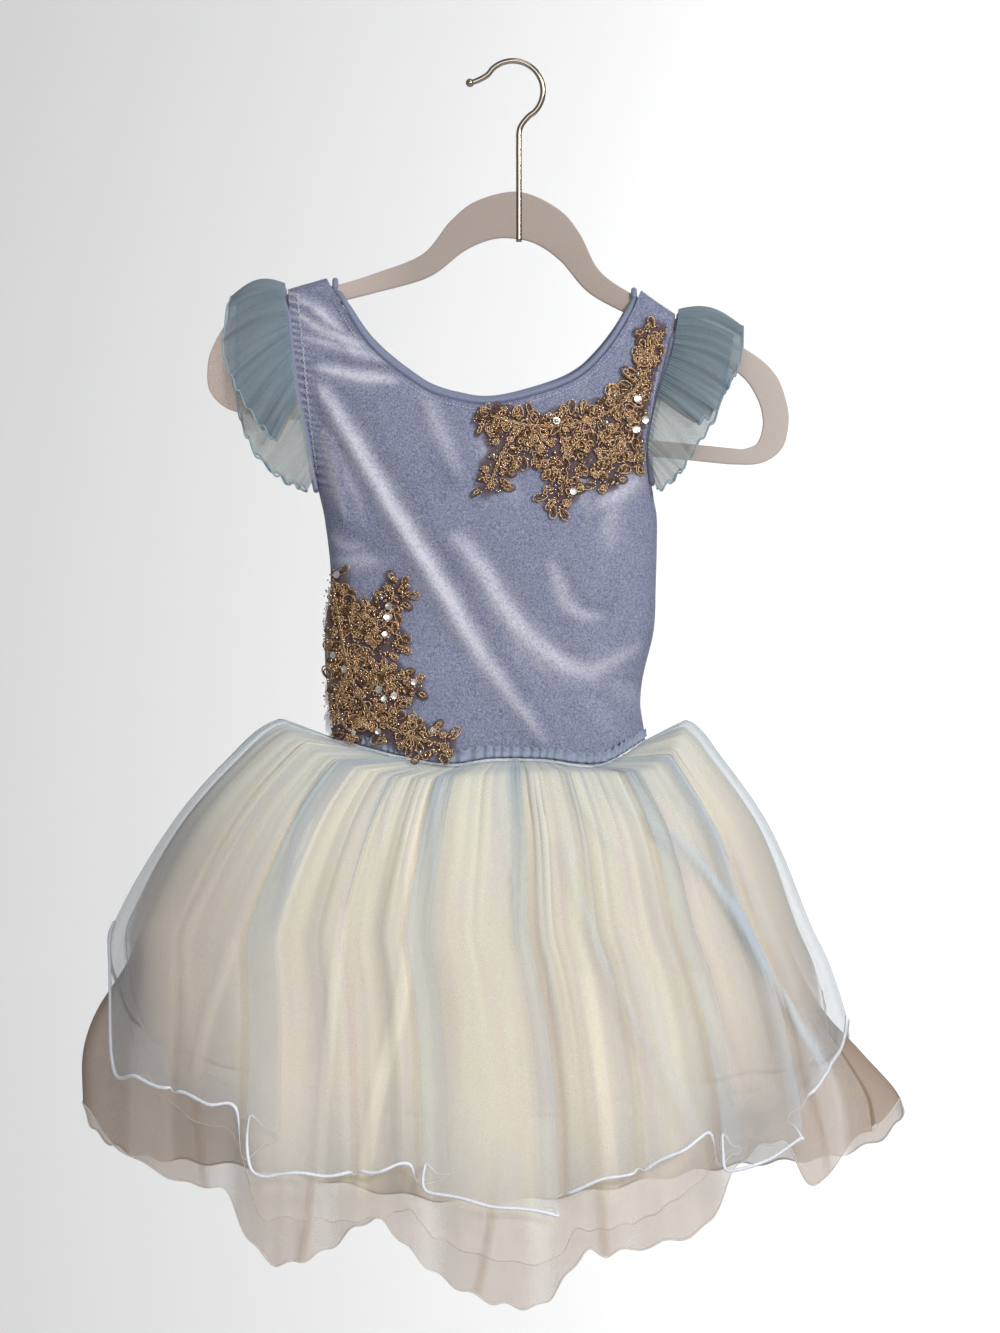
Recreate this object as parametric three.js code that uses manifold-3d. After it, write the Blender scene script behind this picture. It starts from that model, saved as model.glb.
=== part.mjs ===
// A child's tutu dance costume, hung by its shoulders on a flat flocked hanger with a wire hook.
// Millimetres, +Z up, the front faces -Y, the origin is inside the top of the hook, where it hangs.
import * as THREE from 'three';
import { mergeVertices } from 'three/addons/utils/BufferGeometryUtils.js';
import Module from 'manifold-3d';

const wasm = await Module();
wasm.setup();

// ---- driving sizes -------------------------------------------------------------------------------
const seamGap = 0.3; // between pieces that are sewn to each other
const velvetWall = 1.5;
const tulleWall = 1.0;
const bindingRadius = 1.7;
const edgeClear = 1.45; // a binding's clear way along the straight facets of a panel's edge

const hookRadius = 18.6; // to the middle of the wire
const wireRadius = 1.8;
const hookTipRadius = 2.7;
const shankX = 3.7;
const shankFoot = -110;
const shankForward = 0.8; // the shank lies this far in front of the hanger's middle, in its groove

const hangerTop = -79.1; // crown of the hanger's arch
const hangerTilt = THREE.MathUtils.degToRad(5.85); // it hangs lower on the right
const hangerThick = 5;
const hangerEdge = 0.9; // bevel round the flocked body

const tipRise = 2.8; // shoulder seam over the top of the hanger's arm, at its outer end
const neckRise = 6; // and at its inner end, where the edge turns down round the neck
const shoulderRound = 6; // how far down the cloth takes to round over the arm
const leftTip = -138.8;
const leftNeck = -113;
const rightNeck = 77;
const rightTip = 100;

// ---- small helpers -------------------------------------------------------------------------------
const clamp = THREE.MathUtils.clamp;
const lerp = THREE.MathUtils.lerp;

// Smooth reading of one column of a table whose rows rise in the column named key.
function readTable(rows, key, column, at) {
  const last = rows.length - 1;
  if (at <= rows[0][key]) return rows[0][column];
  if (at >= rows[last][key]) return rows[last][column];
  const i = rows.findIndex((row) => row[key] > at) - 1;
  const slope = (j) => {
    const a = rows[Math.max(j - 1, 0)];
    const b = rows[Math.min(j + 1, last)];
    return (b[column] - a[column]) / (b[key] - a[key]);
  };
  const step = rows[i + 1][key] - rows[i][key];
  const t = (at - rows[i][key]) / step;
  const t2 = t * t;
  const t3 = t2 * t;
  return (2 * t3 - 3 * t2 + 1) * rows[i][column] + (t3 - 2 * t2 + t) * step * slope(i)
    + (3 * t2 - 2 * t3) * rows[i + 1][column] + (t3 - t2) * step * slope(i + 1);
}

function bodyFrom(positions, faces) {
  const geometry = new THREE.BufferGeometry();
  const coordinates = positions.flatMap((p) => [p.x, p.y, p.z]);
  geometry.setAttribute('position', new THREE.Float32BufferAttribute(coordinates, 3));
  geometry.setIndex(faces.flat());
  return geometry;
}

// A closed wall between two grids of points, outer[row][column] and inner[row][column]. A ring's rows
// close on themselves. Seen from outside, columns run to the right and rows run up.
function wall(outer, inner, ring = false) {
  const rows = outer.length;
  const columns = outer[0].length;
  const positions = [...outer.flat(), ...inner.flat()];
  const out = (r, c) => r * columns + (c % columns);
  const inn = (r, c) => rows * columns + out(r, c);
  const faces = [];
  const quad = (a, b, c, d) => faces.push([a, b, c], [a, c, d]);
  const spans = ring ? columns : columns - 1;
  for (let r = 0; r < rows - 1; r++) {
    for (let c = 0; c < spans; c++) {
      quad(out(r, c), out(r, c + 1), out(r + 1, c + 1), out(r + 1, c));
      quad(inn(r, c), inn(r + 1, c), inn(r + 1, c + 1), inn(r, c + 1));
    }
  }
  for (let c = 0; c < spans; c++) {
    quad(out(0, c), inn(0, c), inn(0, c + 1), out(0, c + 1));
    quad(out(rows - 1, c), out(rows - 1, c + 1), inn(rows - 1, c + 1), inn(rows - 1, c));
  }
  if (!ring) {
    const end = columns - 1;
    for (let r = 0; r < rows - 1; r++) {
      quad(out(r, 0), out(r + 1, 0), inn(r + 1, 0), inn(r, 0));
      quad(out(r, end), inn(r, end), inn(r + 1, end), out(r + 1, end));
    }
  }
  return bodyFrom(positions, faces);
}

// The grid moved inwards by a wall's thickness, against the surface's own direction at each point.
function movedIn(grid, thickness, ring = false) {
  const rows = grid.length;
  const columns = grid[0].length;
  const column = (c) => (ring ? (c + columns) % columns : clamp(c, 0, columns - 1));
  return grid.map((line, r) => line.map((point, c) => {
    const across = grid[r][column(c + 1)].clone().sub(grid[r][column(c - 1)]);
    const up = grid[Math.min(r + 1, rows - 1)][c].clone().sub(grid[Math.max(r - 1, 0)][c]);
    const outward = across.cross(up).normalize();
    return point.clone().addScaledVector(outward, -thickness);
  }));
}

function toManifold(geometry) {
  const bare = geometry.clone();
  bare.deleteAttribute('normal');
  bare.deleteAttribute('uv');
  const merged = mergeVertices(bare, 1e-4);
  return new wasm.Manifold(new wasm.Mesh({
    numProp: 3,
    vertProperties: new Float32Array(merged.attributes.position.array),
    triVerts: new Uint32Array(merged.index.array),
  }));
}

function fromManifold(solid) {
  const mesh = solid.getMesh();
  const geometry = new THREE.BufferGeometry();
  geometry.setAttribute('position', new THREE.Float32BufferAttribute(mesh.vertProperties, 3));
  geometry.setIndex(new THREE.Uint32BufferAttribute(mesh.triVerts, 1));
  return geometry;
}

// ---- hanger --------------------------------------------------------------------------------------
// One half of the hanger's outline and of the opening inside it, from the crown outwards.
const hangerOutline = [
  { x: 25, z: -8 }, { x: 40, z: -22 }, { x: 55, z: -44 }, { x: 81, z: -58 }, { x: 107, z: -69 },
  { x: 146, z: -81 }, { x: 168, z: -95 }, { x: 178, z: -114 }, { x: 180, z: -128 }, { x: 177, z: -142 },
  { x: 165, z: -151.5 }, { x: 146, z: -154 },
];
const hangerOpening = [
  { x: 14, z: -31 }, { x: 30, z: -40 }, { x: 50, z: -58 }, { x: 82, z: -71 }, { x: 112, z: -82 },
  { x: 145, z: -97 }, { x: 158, z: -110 }, { x: 164, z: -125 }, { x: 162, z: -139 }, { x: 153, z: -144 },
];
const hangerCrown = 0;
const openingCrown = -29;

function mirroredLoop(half, crown, steps) {
  const left = half.map((p) => new THREE.Vector2(-p.x, p.z)).reverse();
  const right = half.map((p) => new THREE.Vector2(p.x, p.z));
  return new THREE.SplineCurve([...left, new THREE.Vector2(0, crown), ...right]).getPoints(steps);
}

function hangerBody() {
  const outline = new THREE.Shape(mirroredLoop(hangerOutline, hangerCrown, 44));
  outline.holes.push(new THREE.Path(mirroredLoop(hangerOpening, openingCrown, 36).reverse()));
  const body = new THREE.ExtrudeGeometry(outline, {
    depth: hangerThick - 2 * hangerEdge,
    bevelThickness: hangerEdge,
    bevelSize: hangerEdge,
    bevelOffset: -hangerEdge,
    bevelSegments: 1,
  });
  body.translate(0, 0, hangerEdge - hangerThick / 2);
  body.rotateX(Math.PI / 2);
  body.rotateY(hangerTilt);
  body.translate(shankX, 0, hangerTop);
  // the shank of the hook lies in a groove down the front of the arch
  const grooveWide = 2 * (wireRadius + seamGap);
  const grooveFloor = wireRadius + seamGap - shankForward;
  const grooveLong = 60;
  const groove = new THREE.BoxGeometry(grooveWide, hangerThick, grooveLong);
  groove.translate(shankX, grooveFloor - hangerThick / 2, hangerTop);
  return fromManifold(toManifold(body).subtract(toManifold(groove)));
}

// Height of the top of the hanger's arm above any x, after its tilt.
function armTop(x) {
  let local = x - shankX;
  let fall = 0;
  for (let i = 0; i < 4; i++) {
    fall = readTable([{ x: 0, z: 0 }, ...hangerOutline.slice(0, 7)], 'x', 'z', Math.abs(local));
    local = (x - shankX - fall * Math.sin(hangerTilt)) / Math.cos(hangerTilt);
  }
  return hangerTop - local * Math.sin(hangerTilt) + fall * Math.cos(hangerTilt);
}

function hangerHook() {
  const centreZ = wireRadius - hookRadius;
  const path = new THREE.CurvePath();
  const at = (angle) => new THREE.Vector3(
    hookRadius * Math.cos(angle), 0, centreZ + hookRadius * Math.sin(angle));
  const points = [new THREE.Vector3(-26.5, 0, -11.8), new THREE.Vector3(-21.5, 0, -10.2)];
  for (let degrees = 148; degrees >= -60; degrees -= 16) {
    points.push(at(THREE.MathUtils.degToRad(degrees)));
  }
  points.push(new THREE.Vector3(shankX + 0.6, 0, -40));
  points.push(new THREE.Vector3(shankX, -shankForward / 2, -50));
  points.push(new THREE.Vector3(shankX, -shankForward, -62));
  path.add(new THREE.CatmullRomCurve3(points, false, 'centripetal'));
  const foot = new THREE.Vector3(shankX, -shankForward, shankFoot);
  path.add(new THREE.LineCurve3(points[points.length - 1], foot));
  const section = new THREE.Shape();
  section.absarc(0, 0, wireRadius, 0, 2 * Math.PI);
  const wire = new THREE.ExtrudeGeometry(section, { steps: 38, curveSegments: 4, extrudePath: path });
  const tip = new THREE.SphereGeometry(hookTipRadius, 8, 6);
  tip.translate(points[0].x, 0, points[0].z);
  return fromManifold(toManifold(wire).add(toManifold(tip)));
}

// ---- bodice --------------------------------------------------------------------------------------
// Sections of the bodice from the waist up: its two sides, how far the front and back stand off the
// side seams, and half the width of each open armhole.
const bodiceRows = [
  { z: -438, left: -109.8, right: 81.4, front: 36, back: 25, openLeft: 0, openRight: 0 },
  { z: -416, left: -109.8, right: 81.4, front: 35, back: 25, openLeft: 0, openRight: 0 },
  { z: -392, left: -114.0, right: 78.4, front: 33, back: 24, openLeft: 0, openRight: 0 },
  { z: -350, left: -116.0, right: 86.0, front: 31, back: 22, openLeft: 0, openRight: 0 },
  { z: -318, left: -111.7, right: 87.8, front: 30, back: 21, openLeft: 0, openRight: 0 },
  { z: -282, left: -115.0, right: 87.8, front: 28, back: 20, openLeft: 0, openRight: 0 },
  { z: -258, left: -120.5, right: 83.8, front: 26, back: 18, openLeft: 1.5, openRight: 1.5 },
  { z: -234, left: -124.5, right: 82.2, front: 24, back: 16, openLeft: 8, openRight: 8 },
  { z: -202, left: -131.2, right: 88.6, front: 20, back: 14, openLeft: 11, openRight: 10 },
  { z: -164, left: -135.7, right: 97.6, front: 14, back: 11, openLeft: 9, openRight: 9 },
  { z: -130, left: -138.8, right: 100.0, front: 9, back: 8, openLeft: 7, openRight: 7 },
];
const leftUnderarm = -262;
const rightUnderarm = -258;

// The soft drag folds of the front: where each ridge starts and ends, its width and its height.
const frontFolds = [
  { x0: -117, z0: -205, x1: -72, z1: -282, width: 7, height: 4.0 },
  { x0: -72, z0: -282, x1: -26, z1: -356, width: 8, height: 4.5 },
  { x0: -26, z0: -356, x1: 18, z1: -412, width: 8, height: 3.5 },
  { x0: -52, z0: -212, x1: -34, z1: -256, width: 7, height: 2.5 },
  { x0: -34, z0: -292, x1: 0, z1: -345, width: 8, height: 3.5 },
  { x0: 0, z0: -345, x1: 30, z1: -370, width: 8, height: 4.5 },
  { x0: 30, z0: -370, x1: 66, z1: -362, width: 9, height: 4.5 },
  { x0: 26, z0: -312, x1: 38, z1: -338, width: 8, height: 3.5 },
  { x0: 76, z0: -262, x1: 50, z1: -276, width: 7, height: 3.5 },
  { x0: -112, z0: -232, x1: -104, z1: -280, width: 5, height: 2.2 },
  { x0: -118, z0: -188, x1: -76, z1: -198, width: 5, height: 2.6 },
  { x0: -122, z0: -152, x1: -100, z1: -176, width: 5, height: 2.0 },
];
const backFolds = [
  { x0: -104, z0: -250, x1: -40, z1: -340, width: 9, height: 3.0 },
  { x0: 72, z0: -262, x1: 10, z1: -350, width: 9, height: 3.0 },
  { x0: -60, z0: -390, x1: 30, z1: -398, width: 8, height: 2.5 },
];

// Waist seam and neck edge, left to right.
const waistRows = [
  { x: -109.8, z: -416 }, { x: -69.7, z: -426.5 }, { x: -38.9, z: -431.5 }, { x: -14.2, z: -428.5 },
  { x: 16.7, z: -428.5 }, { x: 53.7, z: -431.5 }, { x: 81.4, z: -417 },
];
const neckRows = [
  { x: -109.5, z: -142 }, { x: -88.2, z: -175.5 }, { x: -57.4, z: -200.2 }, { x: -38.9, z: -207.6 },
  { x: -14.2, z: -211.3 }, { x: 16.7, z: -204.5 }, { x: 41.3, z: -194 }, { x: 59.8, z: -175.5 },
  { x: 72.5, z: -155 },
];
const backNeckRise = 3; // the back neck sits this much higher, so its binding shows behind the front's

function shoulderLine(x) {
  if (x <= leftNeck) return armTop(x) + lerp(tipRise, neckRise, (x - leftTip) / (leftNeck - leftTip));
  if (x >= rightNeck) return armTop(x) + lerp(neckRise, tipRise, (x - rightNeck) / (rightTip - rightNeck));
  const t = (x - leftNeck) / (rightNeck - leftNeck);
  return lerp(armTop(leftNeck), armTop(rightNeck), t) + neckRise + 60 * Math.sin(Math.PI * t);
}

function foldHeight(folds, x, z) {
  let height = 0;
  for (const fold of folds) {
    const dx = fold.x1 - fold.x0;
    const dz = fold.z1 - fold.z0;
    const along = ((x - fold.x0) * dx + (z - fold.z0) * dz) / (dx * dx + dz * dz);
    const near = clamp(along, 0, 1);
    const away = Math.hypot(x - fold.x0 - near * dx, z - fold.z0 - near * dz) / fold.width;
    height = Math.max(height, fold.height * Math.exp(-away * away));
  }
  return height;
}

// How far the cloth stands off the middle of the bodice at a place on its front or back.
function bodiceDepth(face, x, z) {
  const read = (column) => readTable(bodiceRows, 'z', column, z);
  const left = read('left');
  const right = read('right');
  const side = clamp((2 * x - left - right) / (right - left), -1, 1);
  const open = side < 0 ? read('openLeft') : read('openRight');
  const full = read(face);
  const round = 1 - Math.abs(side) ** 2.6;
  const folds = foldHeight(face === 'front' ? frontFolds : backFolds, x, z) * Math.min(1, 4 * round);
  const below = clamp((shoulderLine(x) - z) / shoulderRound, 0, 1);
  const overArm = Math.sqrt(1 - (1 - below) ** 2);
  const stand = Math.sqrt(open * open + (full * full - open * open) * round) + folds;
  return Math.max(seamGap / 2, stand * overArm);
}

const facing = { front: -1, back: 1 };

function onBodice(face, x, z, lift = 0) {
  const depth = bodiceDepth(face, x, z);
  const point = new THREE.Vector3(x, facing[face] * depth, z);
  if (lift === 0) return point;
  const step = 0.5;
  const slopeX = (bodiceDepth(face, x + step, z) - bodiceDepth(face, x - step, z)) / (2 * step);
  const slopeZ = (bodiceDepth(face, x, z + step) - bodiceDepth(face, x, z - step)) / (2 * step);
  const outward = new THREE.Vector3(-slopeX, facing[face], -slopeZ).normalize();
  return point.addScaledVector(outward, lift);
}

// The mesh set into the left side takes this much of the front's width, between two heights.
const meshFoot = -412;
const meshHead = -322;
const meshWidth = 17;
const meshClear = 1;
function meshBulge(z) {
  const t = clamp((z - meshFoot) / (meshHead - meshFoot), 0, 1);
  return meshWidth * Math.sin(Math.PI * t) ** 0.7;
}

// The neck edge of a panel, from the left shoulder to the right.
function topEdge(face, t) {
  const rise = face === 'back' ? backNeckRise : 0;
  const risen = (z) => z + rise * Math.min(1, (-z - 140) / 30);
  const neck = neckRows.map((row) => new THREE.Vector2(row.x, risen(row.z)));
  const onShoulder = (x) => new THREE.Vector2(x, shoulderLine(x));
  const edge = [leftTip, (leftTip + leftNeck) / 2, leftNeck - 2].map(onShoulder);
  const farEdge = [rightNeck + 2, (rightTip + rightNeck) / 2, rightTip].map(onShoulder);
  const parts = [
    new THREE.SplineCurve(edge),
    new THREE.SplineCurve([edge[2], ...neck, farEdge[0]]),
    new THREE.SplineCurve(farEdge),
  ];
  const shares = [0.18, 0.64, 0.18];
  let from = 0;
  for (let i = 0; i < 3; i++) {
    if (t <= from + shares[i] + 1e-9) return parts[i].getPointAt(clamp((t - from) / shares[i], 0, 1));
    from += shares[i];
  }
  return edge[0];
}

// Rows of a panel, as shares of its height. The last ones lie close together at the top edge.
const panelRows = 16;
const nearTop = [0, 1.2, 3.5, 8];
function rowShare(r, length) {
  const fromTop = panelRows - 1 - r;
  const reach = length - nearTop[3];
  const spaced = nearTop[3] + (reach * (fromTop - 3)) / (panelRows - 4);
  const down = fromTop < nearTop.length ? nearTop[fromTop] : spaced;
  return 1 - down / length;
}

// A bodice panel: its outline is filled from its four edges, then each point is set on the bodice.
function bodicePanel(face) {
  const columns = 22;
  const crowd = 0.7; // how much the columns gather towards the sides
  const footLeftX = waistRows[0].x;
  const footRightX = waistRows[waistRows.length - 1].x;
  const foot = (x) => new THREE.Vector2(x, readTable(waistRows, 'x', 'z', x));
  const side = (name, from, tip, share) => {
    const z = lerp(foot(from).y, shoulderLine(tip), share);
    const inset = name === 'left' && face === 'front' ? meshBulge(z) : 0;
    return new THREE.Vector2(readTable(bodiceRows, 'z', name, z) + inset, z);
  };
  const outer = [];
  for (let r = 0; r < panelRows; r++) {
    const line = [];
    for (let c = 0; c < columns; c++) {
      const even = c / (columns - 1);
      const u = lerp(even, (1 - Math.cos(Math.PI * even)) / 2, crowd);
      const top = topEdge(face, u);
      const bottom = foot(lerp(footLeftX, footRightX, u));
      const v = rowShare(r, top.y - bottom.y);
      const edges = side('left', footLeftX, leftTip, v).lerp(side('right', footRightX, rightTip, v), u);
      const ends = bottom.clone().lerp(top, v);
      const low = side('left', footLeftX, leftTip, 0).lerp(side('right', footRightX, rightTip, 0), u);
      const high = side('left', footLeftX, leftTip, 1).lerp(side('right', footRightX, rightTip, 1), u);
      const at = edges.add(ends).sub(low.lerp(high, v));
      line.push(onBodice(face, at.x, at.y));
    }
    outer.push(face === 'front' ? line : line.reverse());
  }
  return wall(outer, keptApart(movedIn(outer, velvetWall), face));
}

// Points of a wall's inner side, held off the seam with the other half of the garment.
function keptApart(grid, face) {
  return grid.map((line) => line.map((point) => {
    point.y = facing[face] * Math.max(seamGap / 2, facing[face] * point.y);
    return point;
  }));
}

// The mesh fills the gap that the front leaves at its left side, row by row of the front.
function sideMesh() {
  const columns = 4;
  const length = shoulderLine(leftTip) - waistRows[0].z;
  const rows = [];
  for (let r = 0; r < panelRows; r++) {
    const z = waistRows[0].z + rowShare(r, length) * length;
    rows.push({ z, width: meshBulge(z) });
  }
  const first = rows.findIndex((row) => row.width > 1);
  const last = rows.findLastIndex((row) => row.width > 1);
  const towards = (a, b) => ({ z: lerp(a.z, b.z, 0.8), width: lerp(a.width, b.width, 0.8) });
  const kept = [
    towards(rows[first], rows[first - 1]),
    ...rows.slice(first, last + 1),
    towards(rows[last], rows[last + 1]),
  ];
  const outer = kept.map((row) => {
    const edge = readTable(bodiceRows, 'z', 'left', row.z);
    const line = [];
    for (let c = 0; c < columns; c++) {
      line.push(onBodice('front', edge + ((row.width - meshClear) * c) / (columns - 1), row.z));
    }
    return line;
  });
  return wall(outer, keptApart(movedIn(outer, tulleWall), 'front'));
}

// ---- bindings ------------------------------------------------------------------------------------
// A closed tube with one ring of points at each point of its path.
function loopTube(points) {
  const curve = new THREE.CatmullRomCurve3(points, true);
  curve.getPointAt = curve.getPoint;
  curve.getTangentAt = curve.getTangent;
  return new THREE.TubeGeometry(curve, points.length, bindingRadius, 6, true);
}

// Where a binding passes over the hanger's arm, from front to back.
function overArm(x) {
  const side = hangerThick / 2 + bindingRadius + 2 * seamGap;
  const rise = bindingRadius + 4 * seamGap;
  const half = [
    { y: side, z: -4 }, { y: side, z: -0.3 }, { y: 0.8 * side, z: 0.7 * rise }, { y: 0.35 * side, z: rise },
  ];
  const front = half.map((p) => new THREE.Vector3(x, -p.y, armTop(x) + p.z));
  return [...front, ...front.map((p) => new THREE.Vector3(x, -p.y, p.z)).reverse()];
}

function neckBinding() {
  const off = bindingRadius + edgeClear + 0.6;
  const steps = 17;
  const from = 0.225;
  const edgePoint = (face, i) => {
    const t = lerp(from, 1 - from, i / steps);
    const at = topEdge(face, t);
    const next = topEdge(face, t + 0.01);
    const aside = new THREE.Vector2(at.y - next.y, next.x - at.x).normalize();
    const point = onBodice(face, at.x + aside.x * off, at.y + aside.y * off);
    point.y = facing[face] * Math.max(hangerThick / 2 + bindingRadius + 2 * seamGap, Math.abs(point.y));
    return point;
  };
  const front = [];
  const back = [];
  for (let i = 0; i <= steps; i++) {
    front.push(edgePoint('front', i));
    back.push(edgePoint('back', i));
  }
  const overRight = overArm(rightNeck - 3);
  const overLeft = overArm(leftNeck + 4.2).reverse();
  return loopTube([...front, ...overRight, ...back.reverse(), ...overLeft]);
}

function armholeBinding(side) {
  const left = side === 'left';
  const out = left ? -1 : 1;
  const under = left ? leftUnderarm : rightUnderarm;
  const tipX = (left ? leftTip : rightTip) + out * (bindingRadius + edgeClear);
  const spans = 12;
  const point = (face, i) => {
    const z = lerp(under, armTop(tipX) - 4, i / spans);
    const x = readTable(bodiceRows, 'z', side, z) + out * (bindingRadius + edgeClear);
    const open = readTable(bodiceRows, 'z', left ? 'openLeft' : 'openRight', z);
    return new THREE.Vector3(x, facing[face] * Math.max(open, bindingRadius + seamGap), z);
  };
  const front = [];
  const back = [];
  for (let i = 0; i < spans; i++) {
    front.push(point('front', i));
    back.push(point('back', i));
  }
  return loopTube([...front, ...overArm(tipX), ...back.reverse()]);
}

// ---- flutter sleeves -----------------------------------------------------------------------------
// Rows run from the foot of each sleeve at the front of the armhole up to the shoulder: the seam's
// place, the hem's place, and how far the hem stands forward of the garment's middle.
const sleeveTiers = {
  sleeve_left_upper: {
    stand: 5.2, puff: 6, waves: 9, ruffle: 3,
    rows: [
      { seamX: -136.3, seamZ: -207, hemX: -146, hemZ: -233, forward: 22 },
      { seamX: -139.1, seamZ: -188, hemX: -158, hemZ: -220, forward: 27 },
      { seamX: -140.9, seamZ: -170, hemX: -170, hemZ: -200, forward: 28 },
      { seamX: -142.3, seamZ: -155, hemX: -178, hemZ: -176, forward: 24 },
      { seamX: -144.1, seamZ: -135, hemX: -174, hemZ: -142, forward: 12 },
    ],
  },
  sleeve_left_lower: {
    stand: 3.6, puff: 1, waves: 8, ruffle: 2.4,
    rows: [
      { seamX: -125.6, seamZ: -254, hemX: -127, hemZ: -263, forward: 10 },
      { seamX: -130.2, seamZ: -233, hemX: -142, hemZ: -256, forward: 12 },
      { seamX: -136.7, seamZ: -200, hemX: -160, hemZ: -238, forward: 13 },
      { seamX: -141.7, seamZ: -166, hemX: -170, hemZ: -206, forward: 13 },
      { seamX: -144.1, seamZ: -137.6, hemX: -170, hemZ: -145, forward: 9 },
    ],
  },
  sleeve_right_upper: {
    stand: 5.2, puff: 6, waves: 9, ruffle: 3,
    rows: [
      { seamX: 92.4, seamZ: -205, hemX: 112, hemZ: -222, forward: 22 },
      { seamX: 96.4, seamZ: -193, hemX: 124, hemZ: -215, forward: 27 },
      { seamX: 100.8, seamZ: -180, hemX: 133, hemZ: -198, forward: 27 },
      { seamX: 103.6, seamZ: -168, hemX: 140, hemZ: -183, forward: 22 },
      { seamX: 105.6, seamZ: -151, hemX: 142, hemZ: -161, forward: 12 },
    ],
  },
  sleeve_right_lower: {
    stand: 3.6, puff: 1, waves: 8, ruffle: 2.4,
    rows: [
      { seamX: 88.4, seamZ: -251, hemX: 89, hemZ: -264, forward: 10 },
      { seamX: 86.6, seamZ: -236, hemX: 101, hemZ: -254, forward: 12 },
      { seamX: 91.4, seamZ: -210, hemX: 112, hemZ: -238, forward: 13 },
      { seamX: 100.4, seamZ: -182, hemX: 127, hemZ: -212, forward: 13 },
      { seamX: 105.6, seamZ: -153.4, hemX: 136, hemZ: -165, forward: 9 },
    ],
  },
};

const shoulderShare = 0.1; // share of a tier's half length that turns over the hanger's arm
const backShare = 0.8; // the back stands out less than the front

function sleeveTier(name) {
  const { stand, puff, waves, ruffle, rows } = sleeveTiers[name];
  const left = name.includes('left');
  const columns = 34;
  const rings = 5;
  const numbered = rows.map((row, i) => ({ ...row, i: i / (rows.length - 1) }));
  const outer = [];
  for (let r = 0; r < rings; r++) {
    const out = 1 - r / (rings - 1);
    const line = [];
    for (let c = 0; c < columns; c++) {
      const along = (2 * c) / (columns - 1) - 1; // -1 front foot, 0 shoulder, 1 back foot
      const down = Math.abs(along);
      const read = (column) => readTable(numbered, 'i', column, 1 - down);
      const open = readTable(bodiceRows, 'z', left ? 'openLeft' : 'openRight', read('seamZ'));
      const turn = Math.sin((Math.min(1, down / shoulderShare) * Math.PI) / 2);
      const wave = ruffle * out * Math.sin(waves * Math.PI * (along + 1));
      const arch = puff * Math.sin(Math.PI * out);
      const stands = lerp(open + stand, read('forward'), out) + (wave + arch) * down ** 0.5;
      const y = Math.sign(along) * turn * stands * (along > 0 ? backShare : 1);
      const lift = (0.4 * wave + arch) * (1 - down) ** 2;
      line.push(new THREE.Vector3(
        lerp(read('seamX'), read('hemX'), out), y, lerp(read('seamZ'), read('hemZ'), out) + lift));
    }
    outer.push(left ? line : line.reverse());
  }
  return wall(outer, movedIn(outer, tulleWall));
}

// ---- waist frill and skirt -----------------------------------------------------------------------
const frillWaves = 26;
const frillTall = 8;
const frillDeep = 2.2;
const frillStand = 1.35;

function waistFrill() {
  const count = frillWaves * 4;
  const rows = [0, 1].map((r) => {
    const row = [];
    for (let i = 0; i < count; i++) {
      const turn = (2 * Math.PI * i) / count;
      const share = (1 - Math.cos(turn)) / 2;
      const face = turn < Math.PI ? 'front' : 'back';
      const seamX = lerp(waistRows[0].x, waistRows[waistRows.length - 1].x, share);
      const rise = 1 + 3.2 * Math.abs(2 * share - 1) ** 4;
      const z = readTable(waistRows, 'x', 'z', seamX) + rise + frillTall * r;
      const x = lerp(readTable(bodiceRows, 'z', 'left', z), readTable(bodiceRows, 'z', 'right', z), share);
      const wave = frillDeep * (0.5 + 0.5 * Math.sin((Math.PI * i) / 2)) * (0.6 + 0.4 * r);
      row.push(onBodice(face, x, z, frillStand + wave));
    }
    return row;
  });
  return wall(rows, movedIn(rows, tulleWall * 0.8, true), true);
}

// Sections of the skirt by height: how far the outer layer reaches to each side, how far it stands out
// in front and behind, how much its sides puff upwards, and how deep its folds are, from 0 to 1.
const skirtRows = [
  { z: -740, left: -257, right: 223, front: 122, back: 60, lift: 0, fold: 1 },
  { z: -642, left: -255, right: 217, front: 113, back: 57, lift: 0, fold: 0.95 },
  { z: -610, left: -253, right: 211, front: 108, back: 56, lift: 0, fold: 0.92 },
  { z: -585, left: -251, right: 205, front: 103, back: 55, lift: 0, fold: 0.9 },
  { z: -555, left: -250, right: 195, front: 97, back: 53, lift: 0, fold: 0.85 },
  { z: -532, left: -247, right: 184, front: 91, back: 51, lift: 0, fold: 0.8 },
  { z: -475, left: -212, right: 158, front: 73, back: 45, lift: 4, fold: 0.6 },
  { z: -442, left: -176, right: 129, front: 56, back: 38, lift: 13, fold: 0.22 },
  { z: -424, left: -142, right: 105, front: 43, back: 31, lift: 20, fold: 0.1 },
  { z: -416, left: -112, right: 84, front: 37, back: 27, lift: 0, fold: 0 },
];
// Room from one layer to the next, and how far the longest layer's sides lie inside the outer one's.
// Low down, its sides flare past the outer layer's.
const layerRows = [
  { z: -740, room: 13, insetLeft: -9, insetRight: -23 },
  { z: -642, room: 12, insetLeft: -10, insetRight: -23 },
  { z: -610, room: 11.5, insetLeft: -12, insetRight: -4 },
  { z: -585, room: 11, insetLeft: -6, insetRight: 13 },
  { z: -555, room: 10, insetLeft: 12, insetRight: 20 },
  { z: -532, room: 9, insetLeft: 19, insetRight: 18 },
  { z: -475, room: 6, insetLeft: 12, insetRight: 12 },
  { z: -442, room: 5, insetLeft: 9, insetRight: 9 },
  { z: -424, room: 3.3, insetLeft: 6, insetRight: 6 },
  { z: -416, room: 1.4, insetLeft: 2.8, insetRight: 2.8 },
];

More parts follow.
